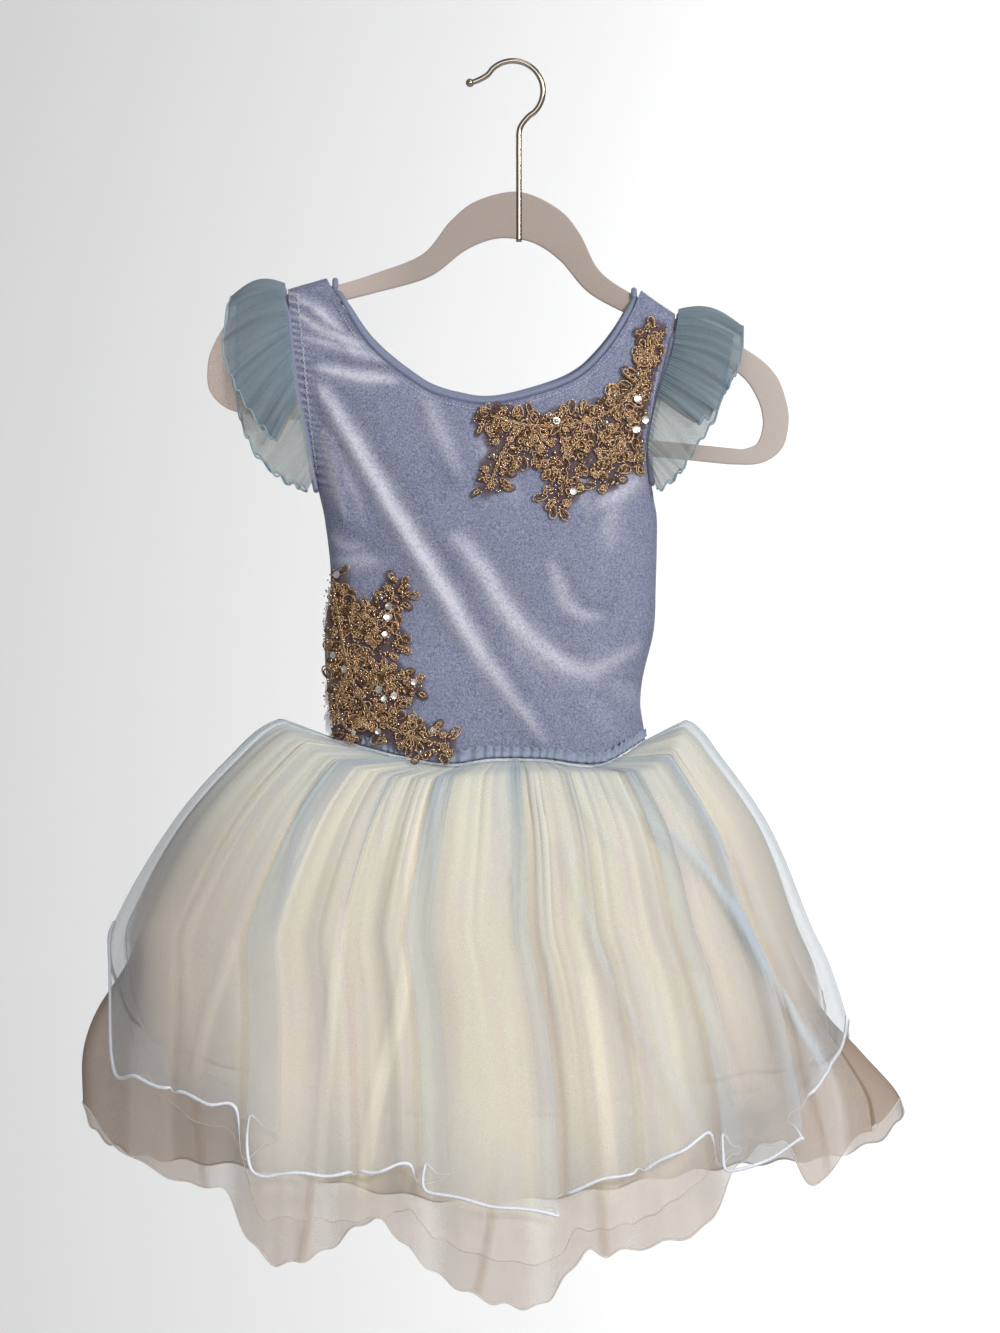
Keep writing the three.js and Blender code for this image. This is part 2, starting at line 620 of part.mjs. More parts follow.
// The flutes of the skirt's front at the hem, and how deep the fold after each of them is.
const skirtFlutes = [
  { from: -246, to: -211, deep: 4 }, { from: -201, to: -167, deep: 13 }, { from: -157, to: -100, deep: 5 },
  { from: -90, to: -62, deep: 11 }, { from: -52, to: 23, deep: 13 }, { from: 33, to: 70, deep: 5 },
  { from: 80, to: 117, deep: 12 }, { from: 127, to: 172, deep: 9 }, { from: 182, to: 207, deep: 0 },
];
const fluteLevel = -650; // the height at which the flutes' places are measured

// Height of each layer's hem at its sides and back, and over each flute.
const skirtHems = {
  skirt_blue: {
    order: 0, left: -532, right: -588, back: -650,
    flutes: [
      { from: -614, mid: -621, to: -626 },
      { from: -629, mid: -634, to: -638 },
      { from: -674, mid: -676, to: -676 },
      { from: -675, mid: -673, to: -670 },
      { from: -686, mid: -694, to: -700 },
      { from: -686, mid: -680, to: -675 },
      { from: -672, mid: -663, to: -652 },
      { from: -675, mid: -668, to: -658 },
      { from: -630, mid: -618, to: -606 },
    ],
  },
  skirt_ivory: {
    order: 1, left: -518, right: -572, back: -668,
    flutes: [
      { from: -584, mid: -616, to: -634 },
      { from: -640, mid: -650, to: -656 },
      { from: -696, mid: -703, to: -705 },
      { from: -704, mid: -702, to: -698 },
      { from: -712, mid: -727, to: -728 },
      { from: -712, mid: -710, to: -706 },
      { from: -702, mid: -690, to: -676 },
      { from: -660, mid: -656, to: -648 },
      { from: -622, mid: -610, to: -598 },
    ],
  },
  skirt_nude: {
    order: 2, left: -639, right: -640, back: -700,
    flutes: [
      { from: -658, mid: -673, to: -681 },
      { from: -685, mid: -691, to: -693 },
      { from: -727, mid: -731, to: -716 },
      { from: -700, mid: -712, to: -724 },
      { from: -735, mid: -754, to: -754 },
      { from: -728, mid: -727, to: -724 },
      { from: -722, mid: -718, to: -708 },
      { from: -686, mid: -664, to: -668 },
      { from: -694, mid: -668, to: -655 },
    ],
  },
};
const backFlutes = 6;
const backFold = 8;
const fluteBulge = 3.5;
const fluteStep = 22; // about one column of points to this much cloth
const layerDrop = 0.2; // each layer under the first puffs up this much less
const skirtLevels = [8, 22, 46, 80]; // rings below the waist seam that every layer has

// The columns of a layer: side share from -1 to 1, the hem's height, and the place in its flute or fold.
function skirtColumns(hems) {
  const left = readTable(skirtRows, 'z', 'left', fluteLevel);
  const right = readTable(skirtRows, 'z', 'right', fluteLevel);
  const share = (x) => (2 * x - left - right) / (right - left);
  const columns = [{ face: 'front', side: -1, hem: hems.left, crest: 0, trough: 0 }];
  skirtFlutes.forEach(({ from, to, deep }, i) => {
    const hem = hems.flutes[i];
    const steps = clamp(Math.round((to - from) / fluteStep), 2, 4);
    for (let k = 0; k <= steps; k++) {
      const t = k / steps;
      const sag = 4 * t * (1 - t) * (hem.mid - (hem.from + hem.to) / 2);
      columns.push({
        face: 'front', side: share(lerp(from, to, t)), hem: lerp(hem.from, hem.to, t) + sag,
        crest: Math.sin(Math.PI * t), trough: 0,
      });
    }
    if (deep > 0) {
      const next = skirtFlutes[i + 1];
      const fold = (hem.to + hems.flutes[i + 1].from) / 2;
      columns.push({ face: 'front', side: share((to + next.from) / 2), hem: fold, crest: 0, trough: deep });
    }
  });
  columns.push({ face: 'front', side: 1, hem: hems.right, crest: 0, trough: 0 });
  const steps = backFlutes * 4;
  for (let i = 1; i < steps; i++) {
    const t = i / steps;
    const side = lerp(hems.right, hems.left, t);
    const hem = lerp(hems.back, side, (2 * t - 1) ** 2) - 6 * Math.sin(5 * Math.PI * t);
    const crest = Math.sin((Math.PI * (i % 4)) / 4);
    const trough = i % 4 === 0 ? backFold : 0;
    columns.push({ face: 'back', side: Math.cos(Math.PI * t), hem, crest, trough });
  }
  return columns;
}

// Where one layer's cloth lies at a column and a height.
function onSkirt(order, column, z) {
  const { face, side } = column;
  const at = (key) => readTable(skirtRows, 'z', key, z);
  const room = readTable(layerRows, 'z', 'room', z);
  const inset = [0, room, readTable(layerRows, 'z', side < 0 ? 'insetLeft' : 'insetRight', z)][order];
  const fold = at('fold');
  const power = order === 2 ? lerp(2.6, 1.3, fold) : lerp(2.6, 5, fold);
  const round = (1 - Math.abs(side) ** power) ** 0.5;
  const stand = at(face) - order * room * (face === 'front' ? 1 : 0.5);
  const folds = fold * (fluteBulge * column.crest - column.trough) * Math.min(1, 2 * round);
  const middle = (at('left') + at('right')) / 2;
  const half = (at('right') - at('left')) / 2;
  const x = middle + half * side - Math.sign(side) * inset * Math.abs(side) ** 12;
  const lift = at('lift') * (1 - layerDrop * order) * side * side;
  return new THREE.Vector3(x, facing[face] * (stand * round + folds), z + lift);
}

// Where one layer is sewn on, just under the bodice's waist.
function skirtSeam(order, column) {
  const x = lerp(waistRows[0].x, waistRows[waistRows.length - 1].x, (column.side + 1) / 2);
  const z = readTable(waistRows, 'x', 'z', x);
  const layerStep = tulleWall + 3 * seamGap;
  const seam = onBodice(column.face, x, z, 2 * seamGap - order * layerStep);
  seam.z = z - 1.2 * seamGap - order * layerStep;
  seam.y = facing[column.face] * Math.max(seamGap, Math.abs(seam.y));
  return seam;
}

function skirtLayer(name) {
  const hems = skirtHems[name];
  const columns = skirtColumns(hems);
  const seams = columns.map((column) => skirtSeam(hems.order, column));
  const tops = columns.map((column) => skirtSeam(0, column).z);
  const last = skirtLevels[skirtLevels.length - 1];
  const rings = [seams];
  for (const level of skirtLevels) {
    rings.push(columns.map((column, c) => onSkirt(hems.order, column, tops[c] - level)));
  }
  for (const share of [0.5, 1]) {
    rings.push(columns.map((column, c) => (
      onSkirt(hems.order, column, lerp(tops[c] - last, column.hem, share)))));
  }
  rings.reverse();
  return wall(rings, movedIn(rings, tulleWall, true), true);
}

// ---- lace ----------------------------------------------------------------------------------------
// Flowering vines of corded lace. Each vine is a stem with leaves on alternate sides.
const laceMotifs = {
  lace_shoulder: {
    vines: [
      [[87, -168], [82, -190], [64, -212], [38, -223], [8, -224], [-14, -218]],
      [[64, -212], [66, -234], [56, -256]],
      [[38, -223], [34, -247], [28, -268]],
      [[8, -224], [-5, -238], [-13, -258]],
      [[72, -206], [76, -226], [74, -244]],
    ],
    flowers: [[83, -178, 9], [66, -208, 11], [40, -230, 11], [13, -226, 10], [-12, -217, 8], [60, -240, 8]],
  },
  lace_waist: {
    vines: [
      [[-108, -322], [-104, -350], [-98, -378], [-85, -402], [-64, -414], [-44, -420]],
      [[-104, -350], [-86, -346], [-72, -328]],
      [[-98, -376], [-80, -376], [-66, -386]],
      [[-99, -374], [-106, -394], [-98, -410]],
    ],
    flowers: [
      [-101, -338, 9], [-84, -350, 8], [-98, -370, 11],
      [-80, -378, 7], [-86, -402, 10], [-62, -413, 8],
    ],
  },
};
const stemWide = 3.2;
const leafLong = 12;
const leafWide = 6;
const leafSpacing = 11;
const laceLift = 1.7;
const laceThick = 1.8;

function prism(points) {
  return toManifold(new THREE.ExtrudeGeometry(new THREE.Shape(points), { depth: 1, bevelEnabled: false }));
}

function leafOutline(x, z, angle) {
  const shape = [[0, -0.25], [0.5, -0.5], [1, 0], [0.5, 0.5], [0, 0.25]];
  return shape.map(([along, across]) => new THREE.Vector2(along * leafLong, across * leafWide)
    .rotateAround(new THREE.Vector2(), angle).add(new THREE.Vector2(x, z)));
}

function flowerOutline(x, z, radius) {
  const petals = 5;
  const points = [];
  for (let i = 0; i < 2 * petals; i++) {
    const reach = [1, 0.62][i % 2] * radius;
    const angle = (2 * Math.PI * i) / (2 * petals) + x;
    points.push(new THREE.Vector2(x + reach * Math.cos(angle), z + reach * Math.sin(angle)));
  }
  return points;
}

function vineSolids(nodes) {
  const stem = new THREE.SplineCurve(nodes.map(([x, z]) => new THREE.Vector2(x, z)));
  const long = stem.getLength();
  const steps = Math.round(long / 10);
  const edge = (t, side) => {
    const tangent = stem.getTangentAt(t);
    const aside = new THREE.Vector2(-tangent.y, tangent.x).multiplyScalar((side * stemWide) / 2);
    return stem.getPointAt(t).add(aside);
  };
  const outline = [];
  for (let i = 0; i <= steps; i++) outline.push(edge(i / steps, -1));
  for (let i = steps; i >= 0; i--) outline.push(edge(i / steps, 1));
  const solids = [prism(outline)];
  const leaves = Math.floor(long / leafSpacing);
  for (let i = 0; i <= leaves; i++) {
    const t = i / leaves;
    const at = stem.getPointAt(t);
    const heading = stem.getTangentAt(t).angle();
    const turn = t > 0.98 ? 0 : (i % 2 ? 1 : -1) * 0.95;
    solids.push(prism(leafOutline(at.x, at.y, heading + turn)));
  }
  return solids;
}

// The part of the front that lace may cover, clear of the armholes and the neck.
function laceGround() {
  const clear = 3;
  const heights = [-445, -416, -380, -350, -318, -282, -258, -234, -202, -180, -164];
  const right = heights.map((z) => new THREE.Vector2(readTable(bodiceRows, 'z', 'right', z) - clear, z));
  const left = heights.map((z) => new THREE.Vector2(readTable(bodiceRows, 'z', 'left', z) + 1, z)).reverse();
  const lowNeck = neckRows.filter((row) => row.z < -160);
  const neck = lowNeck.map((row) => new THREE.Vector2(row.x, row.z - 1)).reverse();
  return [...right, ...neck, ...left];
}

function lace(name) {
  const { vines, flowers } = laceMotifs[name];
  let solid = vines.flatMap(vineSolids).reduce((sum, piece) => sum.add(piece));
  for (const [x, z, radius] of flowers) {
    solid = solid.add(prism(flowerOutline(x, z, radius)));
  }
  const geometry = fromManifold(solid.intersect(prism(laceGround())));
  const place = geometry.attributes.position;
  for (let i = 0; i < place.count; i++) {
    const x = place.getX(i);
    const z = place.getY(i);
    const overFrill = clamp((19 + readTable(waistRows, 'x', 'z', x) - z) / 6, 0, 1);
    const roundSide = clamp((-95 - x) / 10, 0, 1);
    const lift = laceLift + (frillDeep + frillStand) * overFrill + roundSide + laceThick * place.getZ(i);
    const point = onBodice('front', x, z, lift);
    place.setXYZ(i, point.x, point.y, point.z);
  }
  return geometry;
}

// ---- assembly ------------------------------------------------------------------------------------
const velvetColour = '#8b8fb0';
const costume = new THREE.Group();

function addPiece(name, geometry, colour, roughness = 0.9, metalness = 0) {
  const finish = new THREE.MeshStandardMaterial({ color: colour, roughness, metalness });
  const mesh = new THREE.Mesh(geometry, finish);
  mesh.name = name;
  costume.add(mesh);
}

addPiece('hanger_body', hangerBody(), '#b9aaa2', 0.95);
addPiece('hanger_hook', hangerHook(), '#b8b4b0', 0.25, 1);
addPiece('bodice_front', bodicePanel('front'), velvetColour, 0.6);
addPiece('bodice_back', bodicePanel('back'), velvetColour, 0.6);
addPiece('side_mesh', sideMesh(), '#cdb4a5');
addPiece('neck_binding', neckBinding(), velvetColour, 0.6);
addPiece('armhole_binding_left', armholeBinding('left'), velvetColour, 0.6);
addPiece('armhole_binding_right', armholeBinding('right'), velvetColour, 0.6);
for (const name of Object.keys(sleeveTiers)) {
  addPiece(name, sleeveTier(name), name.includes('upper') ? '#7f919c' : '#a3adb2');
}
addPiece('waist_frill', waistFrill(), '#93a6b8');
addPiece('skirt_blue', skirtLayer('skirt_blue'), '#c9d6dc');
addPiece('skirt_ivory', skirtLayer('skirt_ivory'), '#ebe4c8');
addPiece('skirt_nude', skirtLayer('skirt_nude'), '#b9aa9d');
addPiece('lace_shoulder', lace('lace_shoulder'), '#a87850', 0.5, 0.4);
addPiece('lace_waist', lace('lace_waist'), '#a87850', 0.5, 0.4);

export default costume;
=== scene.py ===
# A child's tutu dance costume on its flocked hanger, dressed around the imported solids.
# Sizes are in millimetres in the tables and functions, and become metres where a mesh is made.
import math
import bmesh
import bpy
import numpy as np
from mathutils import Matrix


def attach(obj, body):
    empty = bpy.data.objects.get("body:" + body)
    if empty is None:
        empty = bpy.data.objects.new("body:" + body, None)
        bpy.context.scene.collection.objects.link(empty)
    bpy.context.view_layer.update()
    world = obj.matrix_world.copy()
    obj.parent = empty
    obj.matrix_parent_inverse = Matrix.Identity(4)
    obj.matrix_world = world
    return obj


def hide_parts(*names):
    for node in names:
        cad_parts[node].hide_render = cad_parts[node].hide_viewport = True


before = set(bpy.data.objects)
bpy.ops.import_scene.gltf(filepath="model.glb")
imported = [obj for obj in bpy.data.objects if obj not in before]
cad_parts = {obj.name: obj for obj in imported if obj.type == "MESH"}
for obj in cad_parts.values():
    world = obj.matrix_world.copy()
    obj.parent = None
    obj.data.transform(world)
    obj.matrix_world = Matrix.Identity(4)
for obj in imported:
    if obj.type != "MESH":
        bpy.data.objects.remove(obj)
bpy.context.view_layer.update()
mm = 0.001


# small helpers

def table(columns, rows):
    return [dict(zip(columns.split(), row)) for row in rows]


def readTable(rows, key, column, at):  # smooth reading of one column, whose rows rise in the column named key
    keys = np.array([row[key] for row in rows], float)
    values = np.array([row[column] for row in rows], float)
    before = np.maximum(np.arange(len(rows)) - 1, 0)
    after = np.minimum(np.arange(len(rows)) + 1, len(rows) - 1)
    slopes = (values[after] - values[before]) / (keys[after] - keys[before])
    at = np.clip(np.asarray(at, float), keys[0], keys[-1])
    i = np.clip(np.searchsorted(keys, at, side="right") - 1, 0, len(rows) - 2)
    step = keys[i + 1] - keys[i]
    t = (at - keys[i]) / step
    return ((2 * t**3 - 3 * t**2 + 1) * values[i] + (t**3 - 2 * t**2 + t) * step * slopes[i]
            + (3 * t**2 - 2 * t**3) * values[i + 1] + (t**3 - t**2) * step * slopes[i + 1])


def lerp(a, b, t):
    return a + (b - a) * t


def spline(nodes, perSpan=24, closed=False):  # points of a smooth curve through the nodes
    nodes = np.array(nodes, float)
    count = len(nodes)
    points = []
    for i in range(count if closed else count - 1):
        around = [i - 1, i, i + 1, i + 2]
        p = [nodes[k % count] if closed else nodes[min(max(k, 0), count - 1)] for k in around]
        t = np.linspace(0, 1, perSpan, endpoint=False)[:, None]
        v0 = (p[2] - p[0]) / 2
        v1 = (p[3] - p[1]) / 2
        points.append((2 * t**3 - 3 * t**2 + 1) * p[1] + (t**3 - 2 * t**2 + t) * v0
                      + (3 * t**2 - 2 * t**3) * p[2] + (t**3 - t**2) * v1)
    if not closed:
        points.append(nodes[-1:])
    return np.concatenate(points)


def atShare(points, share):  # places at shares of a curve's length
    steps = np.linalg.norm(np.diff(points, axis=0), axis=1)
    along = np.concatenate([[0], np.cumsum(steps)]) / steps.sum()
    return np.stack([np.interp(share, along, points[:, k]) for k in range(points.shape[1])], -1)


def wander(seed, knots, at, low=0.0, high=1.0):  # a smooth random value for at from 0 to 1, closed on itself
    values = np.random.default_rng(seed).uniform(low, high, knots)
    place = np.asarray(at) * knots
    i = np.floor(place).astype(int)
    t = place - i
    t = t * t * (3 - 2 * t)
    return lerp(values[i % knots], values[(i + 1) % knots], t)


def rgb(code, alpha=1.0):  # a screen colour such as "#8b8fb0", as the linear colour that materials use
    parts = [int(code[k:k + 2], 16) / 255 for k in (1, 3, 5)]
    return tuple(c / 12.92 if c <= 0.04045 else ((c + 0.055) / 1.055) ** 2.4 for c in parts) + (alpha,)


# meshes

def gridFaces(rows, columns, ring=False):  # seen from outside, columns run right and rows run up
    r, c = np.meshgrid(np.arange(rows - 1), np.arange(columns if ring else columns - 1), indexing="ij")
    here = r * columns + c
    right = r * columns + (c + 1) % columns
    return np.stack([here, right, right + columns, here + columns], -1).reshape(-1, 4)


def meshPiece(name, points, faces, material, uv=None, values=None):
    mesh = bpy.data.meshes.new(name)
    points = np.asarray(points, float).reshape(-1, 3)
    mesh.from_pydata((points * mm).tolist(), [], faces if isinstance(faces, list) else faces.tolist())
    if uv is not None:
        corners = np.empty(len(mesh.loops), int)
        mesh.loops.foreach_get("vertex_index", corners)
        layer = mesh.uv_layers.new(name="cloth")
        layer.data.foreach_set("uv", np.asarray(uv, float).reshape(-1, 2)[corners].ravel())
    for key, value in (values or {}).items():
        layer = mesh.attributes.new(key, "FLOAT", "POINT")
        layer.data.foreach_set("value", np.asarray(value, float).ravel())
    mesh.polygons.foreach_set("use_smooth", [True] * len(mesh.polygons))
    mesh.materials.append(material)
    mesh.update()
    piece = bpy.data.objects.new(name, mesh)
    bpy.context.scene.collection.objects.link(piece)
    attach(piece, "root")
    return piece


def tubePoints(path, radius, sides, closed, flat=1.0, up=(0.0, 1.0, 0.0)):  # rings of points round a path
    path = np.asarray(path, float)
    if closed:
        heading = np.roll(path, -1, 0) - np.roll(path, 1, 0)
    else:
        heading = np.gradient(path, axis=0)
    heading /= np.linalg.norm(heading, axis=1)[:, None] + 1e-12
    aside = np.cross(heading, np.asarray(up, float))
    aside /= np.linalg.norm(aside, axis=1)[:, None] + 1e-12
    over = np.cross(aside, heading)
    turn = np.linspace(0, 2 * math.pi, sides, endpoint=False)
    radius = np.broadcast_to(np.asarray(radius, float), (len(path),))[:, None, None]
    ring = np.cos(turn)[None, :, None] * aside[:, None] + flat * np.sin(turn)[None, :, None] * over[:, None]
    return path[:, None] + radius * ring


def tubeFaces(count, sides, closed):
    spans = count if closed else count - 1
    r, c = np.meshgrid(np.arange(spans), np.arange(sides), indexing="ij")
    after = (r + 1) % count
    side = (c + 1) % sides
    faces = np.stack([r * sides + c, r * sides + side, after * sides + side, after * sides + c], -1)
    return faces.reshape(-1, 4)


def tubePiece(name, paths, material, sides=6, closed=False, flat=1.0, up=(0.0, 1.0, 0.0)):
    points = []
    faces = []
    first = 0
    for path, radius in paths:
        rings = tubePoints(path, radius, sides, closed, flat, up)
        points.append(rings.reshape(-1, 3))
        faces += (tubeFaces(len(path), sides, closed) + first).tolist()
        if not closed:
            faces.append([first + k for k in range(sides)][::-1])
            faces.append([first + (len(path) - 1) * sides + k for k in range(sides)])
        first += len(path) * sides
    return meshPiece(name, np.concatenate(points), faces, material)


def thicken(piece, wall):
    shell = piece.modifiers.new("thickness", "SOLIDIFY")
    shell.thickness = wall * mm
    shell.offset = -1


# materials

def newMaterial(name):
    material = bpy.data.materials.new(name)
    material.use_nodes = True
    tree = material.node_tree
    return material, tree, tree.nodes["Principled BSDF"]


def addNode(tree, kind, inputs=None, **settings):
    node = tree.nodes.new(kind)
    for key, value in settings.items():
        setattr(node, key, value)
    for key, value in (inputs or {}).items():
        if isinstance(value, bpy.types.NodeSocket):
            tree.links.new(value, node.inputs[key])
        else:
            node.inputs[key].default_value = value
    return node


def noise(tree, scale, detail=2.0, roughness=0.5, stretch=(1, 1, 1), cloth=False):
    if cloth:
        place = addNode(tree, "ShaderNodeUVMap", uv_map="cloth").outputs["UV"]
    else:
        place = addNode(tree, "ShaderNodeTexCoord").outputs["Object"]
    mapped = addNode(tree, "ShaderNodeMapping", {"Vector": place, "Scale": stretch})
    return addNode(tree, "ShaderNodeTexNoise", {
        "Vector": mapped.outputs[0], "Scale": scale, "Detail": detail, "Roughness": roughness}).outputs["Fac"]


def calc(tree, operation, a, b=0.0):
    node = addNode(tree, "ShaderNodeMath", operation=operation)
    for socket, value in zip(node.inputs, (a, b)):
        if isinstance(value, bpy.types.NodeSocket):
            tree.links.new(value, socket)
        else:
            socket.default_value = value
    return node.outputs[0]


def reached(tree, value, low, high):  # 0 to 1 as value runs low to high
    return addNode(tree, "ShaderNodeMapRange", {"Value": value, "From Min": low, "From Max": high}).outputs[0]


def ramp(tree, value, low, high, fromColor, toColor):  # one colour to the other as value runs low to high
    reach = reached(tree, value, low, high)
    mix = addNode(tree, "ShaderNodeMix", data_type="RGBA")
    tree.links.new(reach, mix.inputs["Factor"])
    for socket, colour in ((mix.inputs[6], fromColor), (mix.inputs[7], toColor)):
        if isinstance(colour, bpy.types.NodeSocket):
            tree.links.new(colour, socket)
        else:
            socket.default_value = colour
    return mix.outputs[2]


def bump(tree, shader, height, strength, distance):
    node = addNode(tree, "ShaderNodeBump", {"Height": height, "Strength": strength, "Distance": distance})
    tree.links.new(node.outputs[0], shader.inputs["Normal"])


def velvetMaterial(name, base, light, deep):
    material, tree, shader = newMaterial(name)
    # the painted highlight and the painted shade of the nap, read from the panel's attributes
    paintedSheen = addNode(tree, "ShaderNodeAttribute", attribute_name="paintedSheen").outputs["Fac"]
    shade = addNode(tree, "ShaderNodeAttribute", attribute_name="shade").outputs["Fac"]
    grain = reached(tree, noise(tree, 900, 2, 0.8), 0.36, 0.64)
    crush = reached(tree, noise(tree, 420, 2, 0.7), 0.3, 0.7)
    ground = ramp(tree, noise(tree, 45, 4, 0.65), 0.38, 0.64, rgb(deep), rgb(base))
    pile = ramp(tree, grain, 0.0, 1.0, mixed(deep, "#000000", 0.45), mixed(base, light, 0.44))
    colour = addNode(tree, "ShaderNodeMix", {"Factor": 0.58}, data_type="RGBA")
    tree.links.new(ground, colour.inputs[6])
    tree.links.new(pile, colour.inputs[7])
    # painted shade: the colour darkens where the shade attribute is high
    dark = ramp(tree, shade, 0.0, 1.0, colour.outputs[2], scaled(tree, colour.outputs[2], 0.66))
    uneven = calc(tree, "ADD", calc(tree, "MULTIPLY", grain, 0.55), calc(tree, "MULTIPLY", crush, 0.4))
    # painted highlight: the colour turns to the light colour along the sheen lines, broken up by the grain
    paintedHighlightAmount = calc(tree, "MULTIPLY", paintedSheen, calc(tree, "ADD", uneven, 0.48))
    tree.links.new(ramp(tree, paintedHighlightAmount, 0.03, 0.95, dark, rgb(light)), shader.inputs["Base Color"])
    shader.inputs["Roughness"].default_value = 0.7
    shader.inputs["Specular IOR Level"].default_value = 0.25
    shader.inputs["Sheen Weight"].default_value = 0.25
    shader.inputs["Sheen Roughness"].default_value = 0.4
    shader.inputs["Sheen Tint"].default_value = rgb(light)
    bump(tree, shader, grain, 0.3, 0.0003)
    return material


def mixed(a, b, share):
    return tuple(lerp(x, y, share) for x, y in zip(rgb(a), rgb(b)))


def tulleMaterial(name, base, tint, cover, warm, edge=None, net=1500):  # cover is how much one ply hides
    material, tree, shader = newMaterial(name)
    plies = addNode(tree, "ShaderNodeAttribute", attribute_name="plies").outputs["Fac"]
    cloud = noise(tree, 6, 3, 0.55, (1, 0.3, 1), True)
    colour = ramp(tree, cloud, 0.3, 0.7, rgb(base), rgb(tint))
    colour = ramp(tree, noise(tree, 7, 2, 0.5, (1, 0.12, 1), True), 0.42, 0.75, colour, rgb(warm))
    # painted shade: towards the skirt's sides the colour turns to the darker edge colour
    if edge:
        aside = addNode(tree, "ShaderNodeAttribute", attribute_name="aside").outputs["Fac"]
        colour = ramp(tree, aside, 0.0, 1.0, colour, rgb(edge))
    mesh = noise(tree, net, 1, 0.5)
    tree.links.new(ramp(tree, mesh, 0.3, 0.7, scaled(tree, colour, 0.93), colour), shader.inputs["Base Color"])
    clear = calc(tree, "POWER", 1 - cover, plies)
    hidden = calc(tree, "SUBTRACT", 1.0, clear)
    alpha = calc(tree, "MULTIPLY", hidden, calc(tree, "ADD", 0.82, calc(tree, "MULTIPLY", mesh, 0.36)))
    tree.links.new(calc(tree, "MINIMUM", alpha, 1.0), shader.inputs["Alpha"])
    shader.inputs["Roughness"].default_value = 0.85
    shader.inputs["Specular IOR Level"].default_value = 0.1
    shader.inputs["Sheen Weight"].default_value = 0.15
    return material


def scaled(tree, colour, share):
    mix = addNode(tree, "ShaderNodeMix", {"Factor": 1 - share}, data_type="RGBA")
    tree.links.new(colour, mix.inputs[6])
    mix.inputs[7].default_value = (0, 0, 0, 1)
    return mix.outputs[2]


def threadMaterial(name, colour, roughness=0.45, pitch=700):
    material, tree, shader = newMaterial(name)
    grain = noise(tree, pitch, 2, 0.6)
    dark = tuple(c * 0.8 for c in rgb(colour)[:3]) + (1.0,)
    tree.links.new(ramp(tree, grain, 0.3, 0.7, dark, rgb(colour)), shader.inputs["Base Color"])
    shader.inputs["Roughness"].default_value = roughness
    shader.inputs["Sheen Weight"].default_value = 0.3
    bump(tree, shader, grain, 0.5, 0.0003)
    return material


def metalThreadMaterial(name, dark, light, metallic, roughness, pitch):
    material, tree, shader = newMaterial(name)
    grain = noise(tree, pitch, 2, 0.7)
    # the grain runs from the dark to the light colour: partly the thread's and bead's own uneven tone, partly
    # painted glints and painted shade
    tree.links.new(ramp(tree, grain, 0.35, 0.68, rgb(dark), rgb(light)), shader.inputs["Base Color"])
    shader.inputs["Metallic"].default_value = metallic
    shader.inputs["Roughness"].default_value = roughness
    bump(tree, shader, grain, 0.6, 0.0004)
    return material


def flockMaterial(name, base, paintedLightLeft, paintedLightRight):
    material, tree, shader = newMaterial(name)
    place = addNode(tree, "ShaderNodeTexCoord")
    across = addNode(tree, "ShaderNodeSeparateXYZ", {"Vector": place.outputs["Object"]}).outputs["X"]
    # painted light: the hanger is lighter towards both arm ends than in the middle, the left end most
    tone = ramp(tree, across, -0.17, -0.06, rgb(paintedLightLeft), rgb(base))
    tone = ramp(tree, across, 0.06, 0.15, tone, rgb(paintedLightRight))
    fibre = noise(tree, 2200, 3, 0.7)
    light = tuple(min(1, c * 1.18) for c in rgb(base)[:3]) + (1.0,)
    tree.links.new(ramp(tree, fibre, 0.42, 0.8, tone, light), shader.inputs["Base Color"])
    shader.inputs["Roughness"].default_value = 0.95
    shader.inputs["Sheen Weight"].default_value = 0.6
    shader.inputs["Sheen Roughness"].default_value = 0.5
    bump(tree, shader, fibre, 0.5, 0.0004)
    return material


def metalMaterial(name, colour, roughness):
    material, tree, shader = newMaterial(name)
    smear = noise(tree, 60, 2, 0.5)
    rough = addNode(tree, "ShaderNodeMapRange", {
        "Value": smear, "From Min": 0.3, "From Max": 0.7, "To Min": roughness, "To Max": roughness * 1.8})
    tree.links.new(rough.outputs[0], shader.inputs["Roughness"])
    shader.inputs["Base Color"].default_value = rgb(colour)
    shader.inputs["Metallic"].default_value = 1.0
    return material


